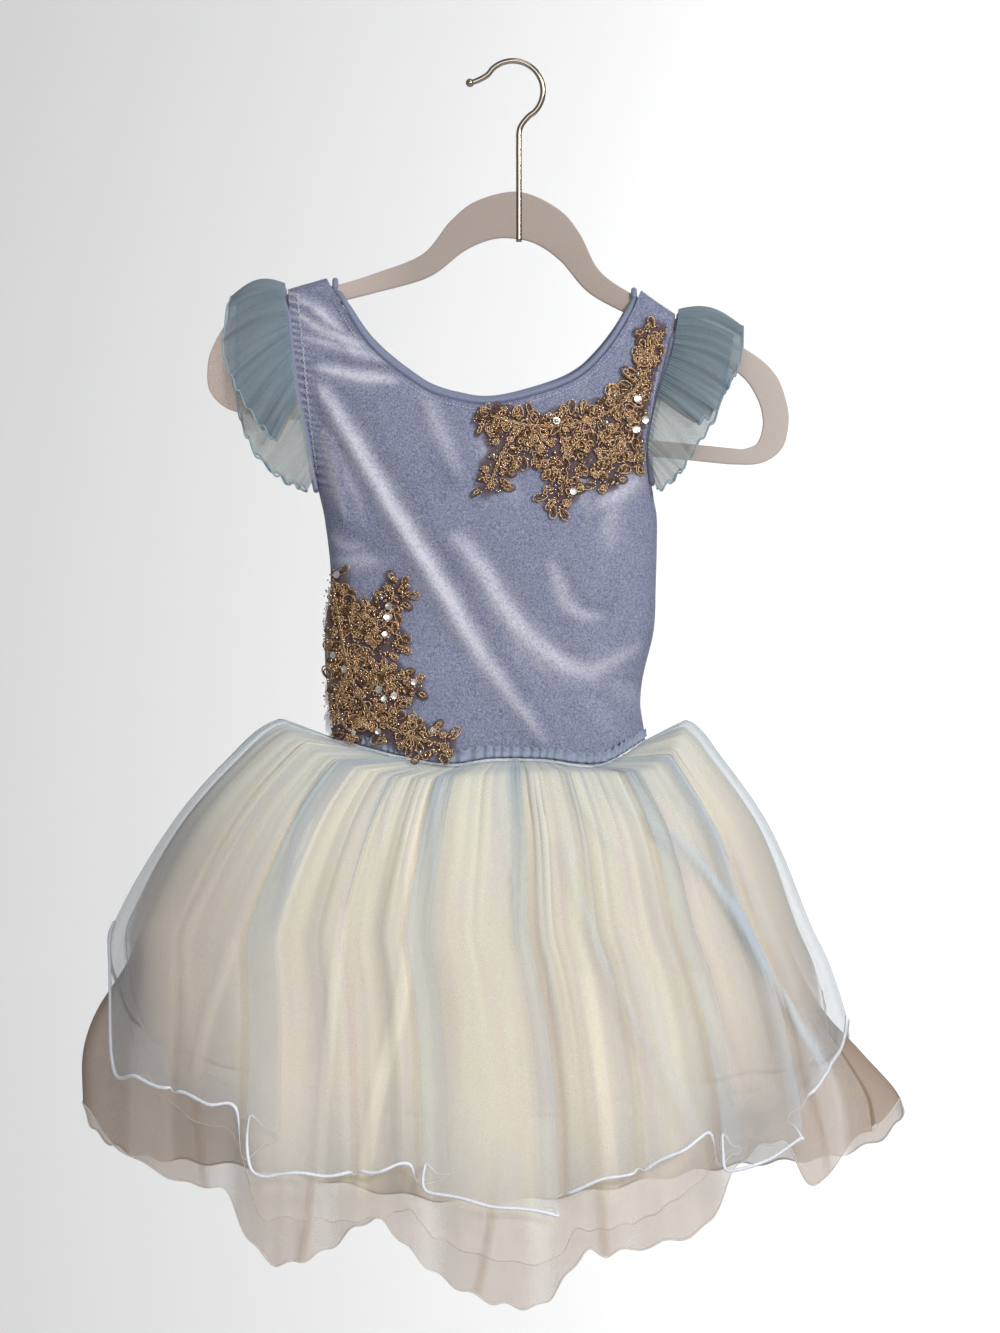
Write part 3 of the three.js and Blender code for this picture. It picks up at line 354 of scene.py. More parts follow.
recipes = {  # the kind of material, then what it is made with
    # the velvet's second colour is its painted highlight and also the pale of its grain
    "velvet": (velvetMaterial, "#7c829d", "#c9c7d3", "#6f7694"),
    "binding": (threadMaterial, "#7d84a0", 0.6),
    "nudeMesh": (threadMaterial, "#c4a898", 0.7, 1500),
    "tulleBlue": (tulleMaterial, "#c9d5de", "#bccbd9", 0.17, "#d2dade"),
    # the ivory and nude tulle's last colour is painted shade at the skirt's sides
    "tulleIvory": (tulleMaterial, "#fbf1da", "#fbf2cf", 0.72, "#f7e4d4", "#d9c4b2"),
    "tulleNude": (tulleMaterial, "#ae9c89", "#a48f7d", 0.6, "#b4a293", "#a28b76"),
    "sleeve": (tulleMaterial, "#6c7d88", "#788994", 0.62, "#82939d"),
    "sleevePale": (tulleMaterial, "#8f999d", "#9ea5a3", 0.5, "#a8aaa5"),
    "satin": (threadMaterial, "#eceff8", 0.35),
    "hemIvory": (threadMaterial, "#c9bcae", 0.5),
    "hemPale": (threadMaterial, "#d9d0c8", 0.5),
    "sleeveHem": (threadMaterial, "#8fa6b1", 0.5),
    "frill": (threadMaterial, "#8d98ad", 0.6),
    "cord": (metalThreadMaterial, "#43281a", "#efc798", 0.45, 0.32, 1100),
    # a darker copy of the cord, painted shade among the cords
    "cordPaintedShade": (metalThreadMaterial, "#2c1c13", "#86603f", 0.4, 0.4, 1100),
    "bead": (metalThreadMaterial, "#a8754a", "#ffe9c8", 0.75, 0.2, 900),
    "sequin": (metalMaterial, "#faf7f2", 0.2),
    "stone": (metalMaterial, "#b9bcc0", 0.1),
    "thread": (threadMaterial, "#c9cbdc", 0.5),
    # the flock's last two colours are painted light on the left and right arm ends
    "flock": (flockMaterial, "#a0938a", "#ecd9cf", "#bbb1a8"),
    "chrome": (metalMaterial, "#a89d90", 0.12),
    "net": (tulleMaterial, "#5c444a", "#665055", 0.5, "#6c5553"),
}
finishes = {name: make(name, *values) for name, (make, *values) in recipes.items()}


# camera, light and backdrop

shot = {"wide": 617.0, "middleX": -8.0, "middleZ": -371.9, "distance": 4000.0, "sensor": 36.0}


def addCamera():
    data = bpy.data.cameras.new("camera")
    data.sensor_width = shot["sensor"]
    data.sensor_fit = "HORIZONTAL"
    data.lens = shot["sensor"] * shot["distance"] / shot["wide"]
    data.clip_end = 60
    camera = bpy.data.objects.new("camera", data)
    camera.location = (shot["middleX"] * mm, -shot["distance"] * mm, shot["middleZ"] * mm)
    camera.rotation_euler = (math.pi / 2, 0, 0)
    bpy.context.scene.collection.objects.link(camera)
    bpy.context.scene.camera = camera


def addLight(name, place, target, size, power):
    data = bpy.data.lights.new(name, "AREA")
    data.shape = "DISK"
    data.size = size
    data.energy = power
    light = bpy.data.objects.new(name, data)
    light.location = place
    aim = np.array(target) - np.array(place)
    flatReach = math.hypot(aim[0], aim[1])
    light.rotation_euler = (math.atan2(flatReach, -aim[2]), 0, math.atan2(aim[1], aim[0]) - math.pi / 2)
    bpy.context.scene.collection.objects.link(light)


# the wall stands far off, so that the costume also shows from behind
backdrop = {"wall": 12.0, "floor": -2.4, "wide": 60.0, "deep": 12.0, "tall": 6.0, "bend": 0.4}


def addBackdrop():
    bend = backdrop["bend"]
    profile = [(-backdrop["deep"], backdrop["floor"])]
    for k in range(13):
        turn = math.pi / 2 * k / 12
        y = backdrop["wall"] - bend + bend * math.sin(turn)
        profile.append((y, backdrop["floor"] + bend - bend * math.cos(turn)))
    profile.append((backdrop["wall"], backdrop["tall"]))
    points = [(side * backdrop["wide"] / 2, y, z) for y, z in profile for side in (-1, 1)]
    faces = [(2 * k, 2 * k + 1, 2 * k + 3, 2 * k + 2) for k in range(len(profile) - 1)]
    mesh = bpy.data.meshes.new("backdrop")
    mesh.from_pydata(points, [], faces)
    mesh.polygons.foreach_set("use_smooth", [True] * len(faces))
    material, tree, shader = newMaterial("paper")
    shader.inputs["Base Color"].default_value = rgb("#f4f4f4")
    shader.inputs["Roughness"].default_value = 0.95
    mesh.materials.append(material)
    sweep = bpy.data.objects.new("backdrop", mesh)
    bpy.context.scene.collection.objects.link(sweep)


addCamera()
addLight("key", (1.5, -2.6, 0.5), (0, 0, -0.35), 0.8, 64)
addLight("wall", (4.6, 8.8, 0.6), (1.6, 12.0, -0.4), 2.0, 330)
addLight("back", (0.9, 3.4, 1.3), (0, 0, -0.4), 1.6, 20)
addLight("front", (-0.2, -3.6, 0.4), (0, 0, -0.4), 1.8, 24)
addLight("top", (0.5, -0.9, 1.9), (0, 0, -0.3), 1.2, 8)
addBackdrop()
bpy.context.scene.view_settings.view_transform = "Standard"
world = bpy.data.worlds.new("studio")
world.use_nodes = True
world.node_tree.nodes["Background"].inputs[0].default_value = (0.97, 0.98, 1.0, 1)
world.node_tree.nodes["Background"].inputs[1].default_value = 0.26
bpy.context.scene.world = world
print("camera, lights and backdrop are up")


# hanger

hanger = {
    "crown": -79.1, "middle": 3.7, "tilt": math.radians(5.85), "thick": 5.0, "edge": 1.1, "hookRadius": 18.6,
    "wire": 1.8, "tip": 2.7, "shankFoot": -110.0, "shankForward": 0.8,
}
hangerOutline = table("x z", [
    (25, -8), (40, -22), (55, -44), (81, -58), (107, -69), (146, -81), (168, -95), (178, -114), (180, -128),
    (177, -142), (165, -151.5), (146, -154)])
hangerOpening = table("x z", [
    (14, -31), (30, -40), (50, -58), (82, -71), (112, -82), (145, -97), (158, -110), (164, -125), (162, -139),
    (153, -144)])


def tilted(x, z):  # from the hanger's own place to where it hangs
    turn = hanger["tilt"]
    return (hanger["middle"] + x * math.cos(turn) + z * math.sin(turn),
            hanger["crown"] - x * math.sin(turn) + z * math.cos(turn))


def armTop(x):
    local = np.asarray(x, float) - hanger["middle"]
    rows = [{"x": 0, "z": 0}] + hangerOutline[:7]
    fall = 0
    for _ in range(4):
        fall = readTable(rows, "x", "z", np.abs(local))
        local = (np.asarray(x) - hanger["middle"] - fall * math.sin(hanger["tilt"])) / math.cos(hanger["tilt"])
    return hanger["crown"] - local * math.sin(hanger["tilt"]) + fall * math.cos(hanger["tilt"])


def makeHanger():
    data = bpy.data.curves.new("hangerShape", "CURVE")
    data.dimensions = "2D"
    data.fill_mode = "BOTH"
    data.extrude = (hanger["thick"] / 2 - hanger["edge"]) * mm
    data.bevel_depth = hanger["edge"] * mm
    data.bevel_resolution = 3
    data.offset = -hanger["edge"] * mm
    for half, crown in ((hangerOutline, 0), (hangerOpening, -29)):
        right = [(row["x"], row["z"]) for row in half]
        left = [(-x, z) for x, z in right[::-1]]
        points = spline(left + [(0, crown)] + right, 10)
        run = data.splines.new("POLY")
        run.points.add(len(points) - 1)
        run.points.foreach_set("co", [v for x, z in points for v in (x * mm, z * mm, 0, 1)])
        run.use_cyclic_u = True
    shape = bpy.data.objects.new("hangerShape", data)
    bpy.context.scene.collection.objects.link(shape)
    mesh = bpy.data.meshes.new_from_object(shape.evaluated_get(bpy.context.evaluated_depsgraph_get()))
    points = np.empty(len(mesh.vertices) * 3)
    mesh.vertices.foreach_get("co", points)
    x, z, y = (points.reshape(-1, 3) / mm).T
    x, z = tilted(x, z)
    faces = [tuple(face.vertices)[::-1] for face in mesh.polygons]
    bpy.data.objects.remove(shape)
    piece = meshPiece("hanger_flocked", np.stack([x, y, z], -1), faces, finishes["flock"])
    merge(piece)
    cutGroove(piece)
    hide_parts("hanger_body")


def cutGroove(piece):  # the slot in the front that the shank is let into
    z = np.linspace(-72, hanger["shankFoot"] - 1.6, 24)
    path = np.stack([0 * z + hanger["middle"], 0 * z - hanger["shankForward"] - 0.4, z], -1)
    cutter = tubePiece("groove", [(path, hanger["wire"] + 0.35)], finishes["flock"], 16)
    merge(cutter)
    cut = piece.modifiers.new("groove", "BOOLEAN")
    cut.object = cutter
    cut.solver = "EXACT"
    mesh = bpy.data.meshes.new_from_object(piece.evaluated_get(bpy.context.evaluated_depsgraph_get()))
    piece.modifiers.remove(cut)
    piece.data = mesh
    bpy.data.objects.remove(cutter)
    rounded = piece.modifiers.new("smooth", "EDGE_SPLIT")
    rounded.split_angle = math.radians(40)


def merge(piece):  # joins doubled points and turns all faces outwards
    build = bmesh.new()
    build.from_mesh(piece.data)
    bmesh.ops.remove_doubles(build, verts=build.verts, dist=0.00001)
    bmesh.ops.recalc_face_normals(build, faces=build.faces)
    build.to_mesh(piece.data)
    build.free()


def makeHook():
    radius = hanger["hookRadius"]
    centre = hanger["wire"] - radius
    nodes = [(-26.5, 0, -11.8), (-21.5, 0, -10.2)]
    for degrees in range(148, -61, -16):
        turn = math.radians(degrees)
        nodes.append((radius * math.cos(turn), 0, centre + radius * math.sin(turn)))
    shank = hanger["middle"]
    forward = -hanger["shankForward"]
    nodes += [(shank + 0.6, 0, -40), (shank, forward / 2, -50), (shank, forward, -62), (shank, forward, -86)]
    nodes.append((shank, forward, hanger["shankFoot"]))
    path = spline(nodes, 8)
    wire = tubePiece("hook_wire", [(path, hanger["wire"])], finishes["chrome"], 16)
    ball = roundBall(nodes[0], hanger["tip"], 16, 10)
    tip = meshPiece("hook_tip", ball[0], ball[1], finishes["chrome"])
    for piece in (wire, tip):
        merge(piece)
    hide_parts("hanger_hook")


def roundBall(centre, radius, around, rings):
    points = [(0, 0, radius)]
    for r in range(1, rings):
        for c in range(around):
            tall = math.pi * r / rings
            turn = 2 * math.pi * c / around
            points.append((radius * math.sin(tall) * math.cos(turn), radius * math.sin(tall) * math.sin(turn),
                           radius * math.cos(tall)))
    points.append((0, 0, -radius))
    faces = [[0, 1 + c, 1 + (c + 1) % around] for c in range(around)]
    for r in range(rings - 2):
        for c in range(around):
            a = 1 + r * around + c
            b = 1 + r * around + (c + 1) % around
            faces.append([a, a + around, b + around, b])
    last = len(points) - 1
    faces += [[last, last - around + (c + 1) % around, last - around + c] for c in range(around)]
    return np.array(points) + np.array(centre), faces


makeHanger()
makeHook()
print("hanger and hook are made")


# bodice

bodice = {
    "wall": 1.3, "front": (200, 190), "back": (110, 110), "crowd": 0.7, "leftTip": -138.8, "leftNeck": -113.0,
    "rightNeck": 77.0, "rightTip": 100.0, "tipRise": 2.8, "neckRise": 6.0, "round": 6.0, "backNeckRise": 3.0,
}
bodiceRows = table("z left right front back openLeft openRight", [
    (-438, -109.8, 81.4, 36, 25, 0, 0), (-416, -109.8, 81.4, 35, 25, 0, 0), (-392, -114.0, 78.4, 33, 24, 0, 0),
    (-350, -116.0, 86.0, 31, 22, 0, 0), (-318, -111.7, 87.8, 30, 21, 0, 0), (-282, -115.0, 87.8, 28, 20, 0, 0),
    (-258, -120.5, 83.8, 26, 18, 1.5, 1.5), (-234, -124.5, 82.2, 24, 16, 8, 8), (-202, -131.2, 88.6, 20, 14, 11, 10),
    (-164, -135.7, 97.6, 14, 11, 9, 9), (-130, -138.8, 100.0, 9, 8, 7, 7)])
waistRows = table("x z", [
    (-109.8, -416), (-69.7, -426.5), (-38.9, -431.5), (-14.2, -428.5), (16.7, -428.5), (53.7, -431.5), (81.4, -417)])
neckRows = [(-109.5, -142), (-88.2, -175.5), (-57.4, -200.2), (-38.9, -207.6), (-14.2, -211.3), (16.7, -204.5),
            (41.3, -194), (59.8, -175.5), (72.5, -155)]
frontFolds = table("x0 z0 x1 z1 width height", [
    (-117, -205, -72, -282, 7, 4.0), (-72, -282, -26, -356, 8, 4.5), (-26, -356, 18, -412, 8, 3.5),
    (-52, -212, -34, -256, 7, 2.5), (-34, -292, 0, -345, 8, 3.5), (0, -345, 30, -370, 8, 4.5),
    (30, -370, 66, -362, 9, 4.5), (26, -312, 38, -338, 8, 3.5), (76, -262, 50, -276, 7, 3.5),
    (-112, -232, -104, -280, 5, 2.2), (-118, -188, -76, -198, 5, 2.6), (-122, -152, -100, -176, 5, 2.0)])
backFolds = table("x0 z0 x1 z1 width height", [
    (-108, -238, -72, -296, 8, 2.6), (-72, -296, -52, -330, 9, 2.2), (76, -250, 58, -284, 7, 2.2),
    (-98, -372, -48, -388, 9, 2.4), (-48, -388, -6, -386, 8, 1.8), (18, -352, 62, -332, 9, 2.0),
    (30, -408, 70, -396, 7, 1.6), (-30, -212, -14, -248, 9, 1.4)])
# painted highlights where the nap catches the light, as lines along the folds
frontPaintedSheen = table("width light nodes", [
    (5.5, 1.0, [(-119, -202), (-89, -248), (-62, -294), (-25, -357), (20, -417)]),
    (6.0, 0.4, [(-54, -204), (-46, -230), (-35, -254)]),
    (6.0, 0.85, [(-35, -292), (-22, -306), (-1, -344), (23, -368), (48, -375), (78, -357)]),
    (4.5, 0.6, [(25, -311), (32, -332), (43, -341), (56, -340)]),
    (6.0, 0.65, [(77, -257), (64, -268), (51, -273)]),
    (3.2, 0.6, [(-115, -228), (-110, -255), (-105, -281)]),
    (3.2, 0.35, [(-105, -238), (-97, -262), (-91, -288)]),
    (3.6, 1.0, [(-122, -188), (-96, -192), (-70, -198)]),
    (4.5, 0.5, [(-109, -305), (-96, -306), (-83, -310)]),
    (2.6, 0.8, [(-131, -143), (-118, -152), (-101, -166)]),
    (2.8, 0.9, [(-130, -155), (-112, -165), (-88, -177)]),
    (2.6, 0.7, [(-127, -169), (-104, -174), (-74, -187)]),
    (7.0, 0.22, [(62, -385), (74, -392), (80, -402)]),
    (7.0, 0.4, [(70, -262), (60, -280), (58, -300)]),
    (6.0, 0.35, [(-20, -232), (-8, -252), (0, -272)]),
    (7.0, 0.18, [(-60, -300), (-50, -318), (-44, -340)]),
    (5.0, 0.12, [(40, -392), (52, -400), (60, -412)]),
    (3.0, 0.45, [(-112, -290), (-104, -297), (-92, -300)]),
    (5.0, 0.3, [(38, -250), (44, -268), (45, -286)])])
backPaintedSheen = table("width light nodes", [
    (5.0, 0.5, [(-112, -232), (-92, -262), (-70, -298), (-54, -332)]),
    (3.2, 0.3, [(-107, -252), (-99, -276), (-92, -296)]),
    (4.5, 0.42, [(80, -244), (68, -262), (59, -288)]),
    (5.0, 0.38, [(-104, -368), (-76, -380), (-44, -389), (-10, -387)]),
    (5.5, 0.3, [(14, -354), (34, -350), (64, -330)]),
    (4.0, 0.3, [(28, -409), (48, -405), (72, -395)]),
    (6.0, 0.2, [(-32, -208), (-26, -228), (-14, -250)]),
    (3.0, 0.45, [(-128, -160), (-114, -172), (-96, -180)]),
    (3.0, 0.35, [(88, -156), (78, -172), (66, -184)]),
    (4.0, 0.22, [(-66, -408), (-40, -402), (-22, -408)])])
sideMesh = {"foot": -412.0, "head": -322.0, "wide": 17.0}


def shoulderLine(x):
    x = np.asarray(x, float)
    neckShare = np.clip((x - bodice["leftNeck"]) / (bodice["rightNeck"] - bodice["leftNeck"]), 0, 1)
    leftShare = np.clip((x - bodice["leftTip"]) / (bodice["leftNeck"] - bodice["leftTip"]), -1, 1)
    rightShare = np.clip((bodice["rightTip"] - x) / (bodice["rightTip"] - bodice["rightNeck"]), -1, 1)
    rise = lerp(bodice["tipRise"], bodice["neckRise"], np.minimum(leftShare, rightShare))
    arms = lerp(armTop(bodice["leftNeck"]), armTop(bodice["rightNeck"]), neckShare)
    inside = arms + bodice["neckRise"] + 60 * np.sin(math.pi * neckShare)
    outside = (x <= bodice["leftNeck"]) | (x >= bodice["rightNeck"])
    return np.where(outside, armTop(x) + rise, inside)


def ridges(folds, x, z):
    height = np.zeros_like(x)
    for fold in folds:
        dx = fold["x1"] - fold["x0"]
        dz = fold["z1"] - fold["z0"]
        along = np.clip(((x - fold["x0"]) * dx + (z - fold["z0"]) * dz) / (dx * dx + dz * dz), 0, 1)
        away = np.hypot(x - fold["x0"] - along * dx, z - fold["z0"] - along * dz) / fold["width"]
        height = np.maximum(height, fold["height"] * np.exp(-away * away))
    return height


def paintedHighlight(paintedSheenLines, x, z):  # painted highlight: how brightly the nap is painted to shine at each place
    light = np.zeros_like(x)
    warpX = 1.4 * np.sin(z / 13.1 + x / 24) + 0.5 * np.sin(z / 5.3 - x / 8.3)
    warpZ = 1.5 * np.sin(x / 12.7 + z / 21) + 0.5 * np.sin(x / 5.7 + z / 9.9)
    x = x + warpX
    z = z + warpZ
    for paintedSheen in paintedSheenLines:
        line = spline(paintedSheen["nodes"], 20)
        line = atShare(line, np.linspace(0, 1, int(np.linalg.norm(np.diff(line, axis=0), axis=1).sum() / 1.3)))
        taper = np.sin(np.linspace(0.12, 0.97, len(line)) * math.pi) ** 0.5
        for (lx, lz), part in zip(line, taper):
            away = np.hypot(x - lx, z - lz) / (paintedSheen["width"] * (0.3 + 0.6 * part))
            core = 0.68 * np.exp(-away ** 2) + 0.32 * np.exp(-(away / 2.3) ** 2)
            light = np.maximum(light, paintedSheen["light"] * part * core)
    return light


def bodiceDepth(face, x, z, folded=True):
    x, z = np.broadcast_arrays(np.asarray(x, float), np.asarray(z, float))
    left = readTable(bodiceRows, "z", "left", z)
    right = readTable(bodiceRows, "z", "right", z)
    side = np.clip((2 * x - left - right) / (right - left), -1, 1)
    gapLeft = readTable(bodiceRows, "z", "openLeft", z)
    gapRight = readTable(bodiceRows, "z", "openRight", z)
    gap = np.where(side < 0, gapLeft, gapRight)
    full = readTable(bodiceRows, "z", face, z)
    rounded = 1 - np.abs(side) ** 2.6
    folds = ridges(frontFolds if face == "front" else backFolds, x, z) if folded else 0
    below = np.clip((shoulderLine(x) - z) / bodice["round"], 0, 1)
    over = np.sqrt(1 - (1 - below) ** 2)
    depth = np.sqrt(gap * gap + (full * full - gap * gap) * rounded) + folds * np.minimum(1, 4 * rounded)
    return np.maximum(0.15, depth * over)


facing = {"front": -1.0, "back": 1.0}


def onBodice(face, x, z, lift=0.0):
    depth = bodiceDepth(face, x, z)
    step = 0.5
    slopeX = (bodiceDepth(face, x + step, z) - bodiceDepth(face, x - step, z)) / (2 * step)
    slopeZ = (bodiceDepth(face, x, z + step) - bodiceDepth(face, x, z - step)) / (2 * step)
    outward = np.stack([-slopeX, np.full_like(slopeX, facing[face]), -slopeZ], -1)
    outward /= np.linalg.norm(outward, axis=-1)[..., None]
    place = np.stack([x + 0 * depth, facing[face] * depth, z + 0 * depth], -1)
    return place + outward * np.asarray(lift)[..., None]


def meshBulge(z):
    t = np.clip((z - sideMesh["foot"]) / (sideMesh["head"] - sideMesh["foot"]), 0, 1)
    return sideMesh["wide"] * np.sin(math.pi * t) ** 0.7


def topEdge(face, share, beyond=0.0):  # the neck and shoulder edge, left to right
    rise = bodice["backNeckRise"] if face == "back" else 0
    neck = [(x, z + rise * min(1, (-z - 140) / 30)) for x, z in neckRows]
    tip, inner = bodice["leftTip"], bodice["leftNeck"] - 2
    farInner, farTip = bodice["rightNeck"] + 2, bodice["rightTip"]
    near = [(x, float(shoulderLine(x))) for x in (tip, (tip + bodice["leftNeck"]) / 2, inner)]
    far = [(x, float(shoulderLine(x))) for x in (farInner, (farTip + bodice["rightNeck"]) / 2, farTip)]
    runs = [spline(near), spline([near[-1]] + neck + [far[0]]), spline(far)]
    shares = np.array([0.18, 0.64, 0.18])
    starts = np.array([0, 0.18, 0.82])
    share = np.asarray(share, float)
    result = np.zeros(share.shape + (2,))
    for run, start, wide in zip(runs, starts, shares):
        inside = (share >= start - 1e-9) & (share <= start + wide + 1e-9)
        result[inside] = atShare(run, np.clip((share[inside] - start) / wide, 0, 1))
    if beyond:
        aside = np.gradient(result, axis=0)
        aside = np.stack([-aside[:, 1], aside[:, 0]], -1)
        aside /= np.linalg.norm(aside, axis=1)[:, None]
        result = result + beyond * aside
    return result


def panelGrid(face, columns, rows):
    even = np.linspace(0, 1, columns)
    u = lerp(even, (1 - np.cos(math.pi * even)) / 2, bodice["crowd"])
    top = topEdge(face, u)
    footX = lerp(waistRows[0]["x"], waistRows[-1]["x"], u)
    foot = np.stack([footX, readTable(waistRows, "x", "z", footX)], -1)
    down = np.linspace(0, 1, rows)
    down = 0.06 * down + 0.94 * down ** 1.35
    v = 1 - down[::-1][:, None] * np.ones((1, columns))

    def side(name, fromX, tip, share):
        z = lerp(float(readTable(waistRows, "x", "z", fromX)), float(shoulderLine(tip)), share)
        inset = meshBulge(z) if name == "left" and face == "front" else 0
        return np.stack([readTable(bodiceRows, "z", name, z) + inset, z], -1)

    def both(share):
        left = side("left", waistRows[0]["x"], bodice["leftTip"], share)
        right = side("right", waistRows[-1]["x"], bodice["rightTip"], share)
        return lerp(left, right, u[None, :, None])

    ends = lerp(foot[None], top[None], v[..., None])
    corners = lerp(both(np.zeros_like(v)), both(np.ones_like(v)), v[..., None])
    at = both(v) + ends - corners
    return at[..., 0], at[..., 1]


def shirring(face, x, z):  # small gathers where the cloth meets the left armhole
    left = readTable(bodiceRows, "z", "left", z)
    near = np.exp(-np.maximum(0, x - left - 2) / 9) * (z > -262) * (z < -140)
    wave = np.sin(2 * math.pi * (z + 0.25 * (x - left)) / 4.6 + 2.2 * np.sin(z / 9))
    amount = 0.75 if face == "front" else 0.4
    return amount * near * wave


def bodicePanel(face):
    x, z = panelGrid(face, *bodice[face])
    ripple = 0.35 * np.sin((x + 1.7 * z) / 23 + 1.5 * np.sin(z / 31)) * np.sin((x - z) / 41)
    low = np.clip((z + 432) / 22, 0, 1)  # gathers just over the waist seam
    tucks = 0.45 * (1 - low) * np.sin(x * 2 * math.pi / 7.5 + 2 * np.sin(x / 11))
    inside = np.clip((shoulderLine(x) - z - 2) / 8, 0, 1)
    lift = (shirring(face, x, z) + ripple + tucks) * inside
    points = onBodice(face, x, z, lift)
    paintedSheenLines = frontPaintedSheen if face == "front" else backPaintedSheen
    # painted highlight along the sheen lines and on the ridges of the armhole gathers
    light = paintedHighlight(paintedSheenLines, x, z)
    light = np.maximum(light, 0.55 * np.clip(shirring(face, x, z), 0, 1))
    # painted shade just beside each sheen line and in the troughs of the armhole gathers
    shade = 0.9 * np.clip(paintedHighlight(paintedSheenLines, x - 7, z - 6) - light, 0, 1)
    shade = np.maximum(shade, 0.6 * np.clip(-shirring(face, x, z), 0, 1))
    if face == "back":
        points = points[:, ::-1]
        light = light[:, ::-1]
        shade = shade[:, ::-1]
    faces = gridFaces(*light.shape)
    piece = meshPiece("bodice_%s_velvet" % face, points, faces, finishes["velvet"],
                      values={"paintedSheen": light, "shade": shade})
    thicken(piece, bodice["wall"])
    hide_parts("bodice_" + face)
    return piece


bodicePanels = {face: bodicePanel(face) for face in ("front", "back")}


def makeSideMesh():
    z = np.linspace(sideMesh["foot"] + 3, sideMesh["head"] - 3, 40)
    share = np.linspace(0, 1, 9)
    edge = readTable(bodiceRows, "z", "left", z)
    x = edge[:, None] + (meshBulge(z)[:, None] + 0.6) * share[None]
    points = onBodice("front", x, np.broadcast_to(z[:, None], x.shape), -0.2)
    points[:, 0, 1] = np.minimum(points[:, 0, 1], -0.2)
    piece = meshPiece("side_mesh_nude", points, gridFaces(len(z), 9), finishes["nudeMesh"])
    thicken(piece, 0.6)
    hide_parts("side_mesh")
    return piece


sideMeshPiece = makeSideMesh()
print("bodice panels are made")


# bindings

binding = {"wide": 2.5, "over": 2.3, "sides": 12}


def overArm(x):
    side = hanger["thick"] / 2 + 2.4
    half = [(side, -4), (side, -0.3), (0.8 * side, 2.1), (0.35 * side, 3.0)]
    front = [(x, -y, float(armTop(x)) + z) for y, z in half]
    return front + [(px, -py, pz) for px, py, pz in front[::-1]]


def neckRun(face, beyond):
    share = np.linspace(0.215, 0.785, 60)
    edge = topEdge(face, share, beyond)
    points = onBodice(face, edge[:, 0], edge[:, 1])
    points[:, 1] = facing[face] * np.maximum(hanger["thick"] / 2 + 2.2, np.abs(points[:, 1]))
    return points


def makeNeckBinding():
    front = neckRun("front", binding["over"])
    back = neckRun("back", binding["over"])
    left = np.array(overArm(bodice["leftNeck"] + 3.4))
    right = np.array(overArm(bodice["rightNeck"] - 2.4))
    loop = spline(np.concatenate([front[::3], right, back[::-3], left[::-1]]), 6, True)
    return bindingPiece("neck_binding_fold", loop, "neck_binding", "binding")


def bindingPiece(name, loop, node, finish):
    heading = np.roll(loop, -1, 0) - np.roll(loop, 1, 0)
    heading /= np.linalg.norm(heading, axis=1)[:, None]
    lean = np.stack([np.zeros(len(loop)), loop[:, 1], 3.0 + 0 * loop[:, 1]], -1)
    lean /= np.linalg.norm(lean, axis=1)[:, None]
    aside = np.cross(heading, lean)
    aside /= np.linalg.norm(aside, axis=1)[:, None] + 1e-9
    thickWay = np.cross(aside, heading)
    turn = np.linspace(0, 2 * math.pi, binding["sides"], endpoint=False)
    ring = (binding["wide"] * 0.72 * np.cos(turn)[None, :, None] * aside[:, None]
            + binding["wide"] * 0.72 * np.sin(turn)[None, :, None] * thickWay[:, None])
    points = loop[:, None] + ring
    piece = meshPiece(name, points, tubeFaces(len(loop), binding["sides"], True), finishes[finish])
    merge(piece)
    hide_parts(node)
    return piece


def makeArmholeBinding(side):
    out = -1 if side == "left" else 1
    under = -262 if side == "left" else -258
    tip = bodice[side + "Tip"] + out * 2.6
    z = np.linspace(under, float(armTop(tip)) - 4, 14)[:-1]
    x = readTable(bodiceRows, "z", side, z) + out * 2.0
    gap = readTable(bodiceRows, "z", "openLeft" if side == "left" else "openRight", z)
    front = np.stack([x, -np.maximum(gap, 2.0), z], -1)
    back = front * np.array([1, -1, 1])
    loop = spline(np.concatenate([front, np.array(overArm(tip)), back[::-1]]), 6, True)
    return bindingPiece("armhole_binding_%s_fold" % side, loop, "armhole_binding_" + side, "binding")


makeNeckBinding()
for side in ("left", "right"):
    makeArmholeBinding(side)
print("bindings are made")


# sleeves

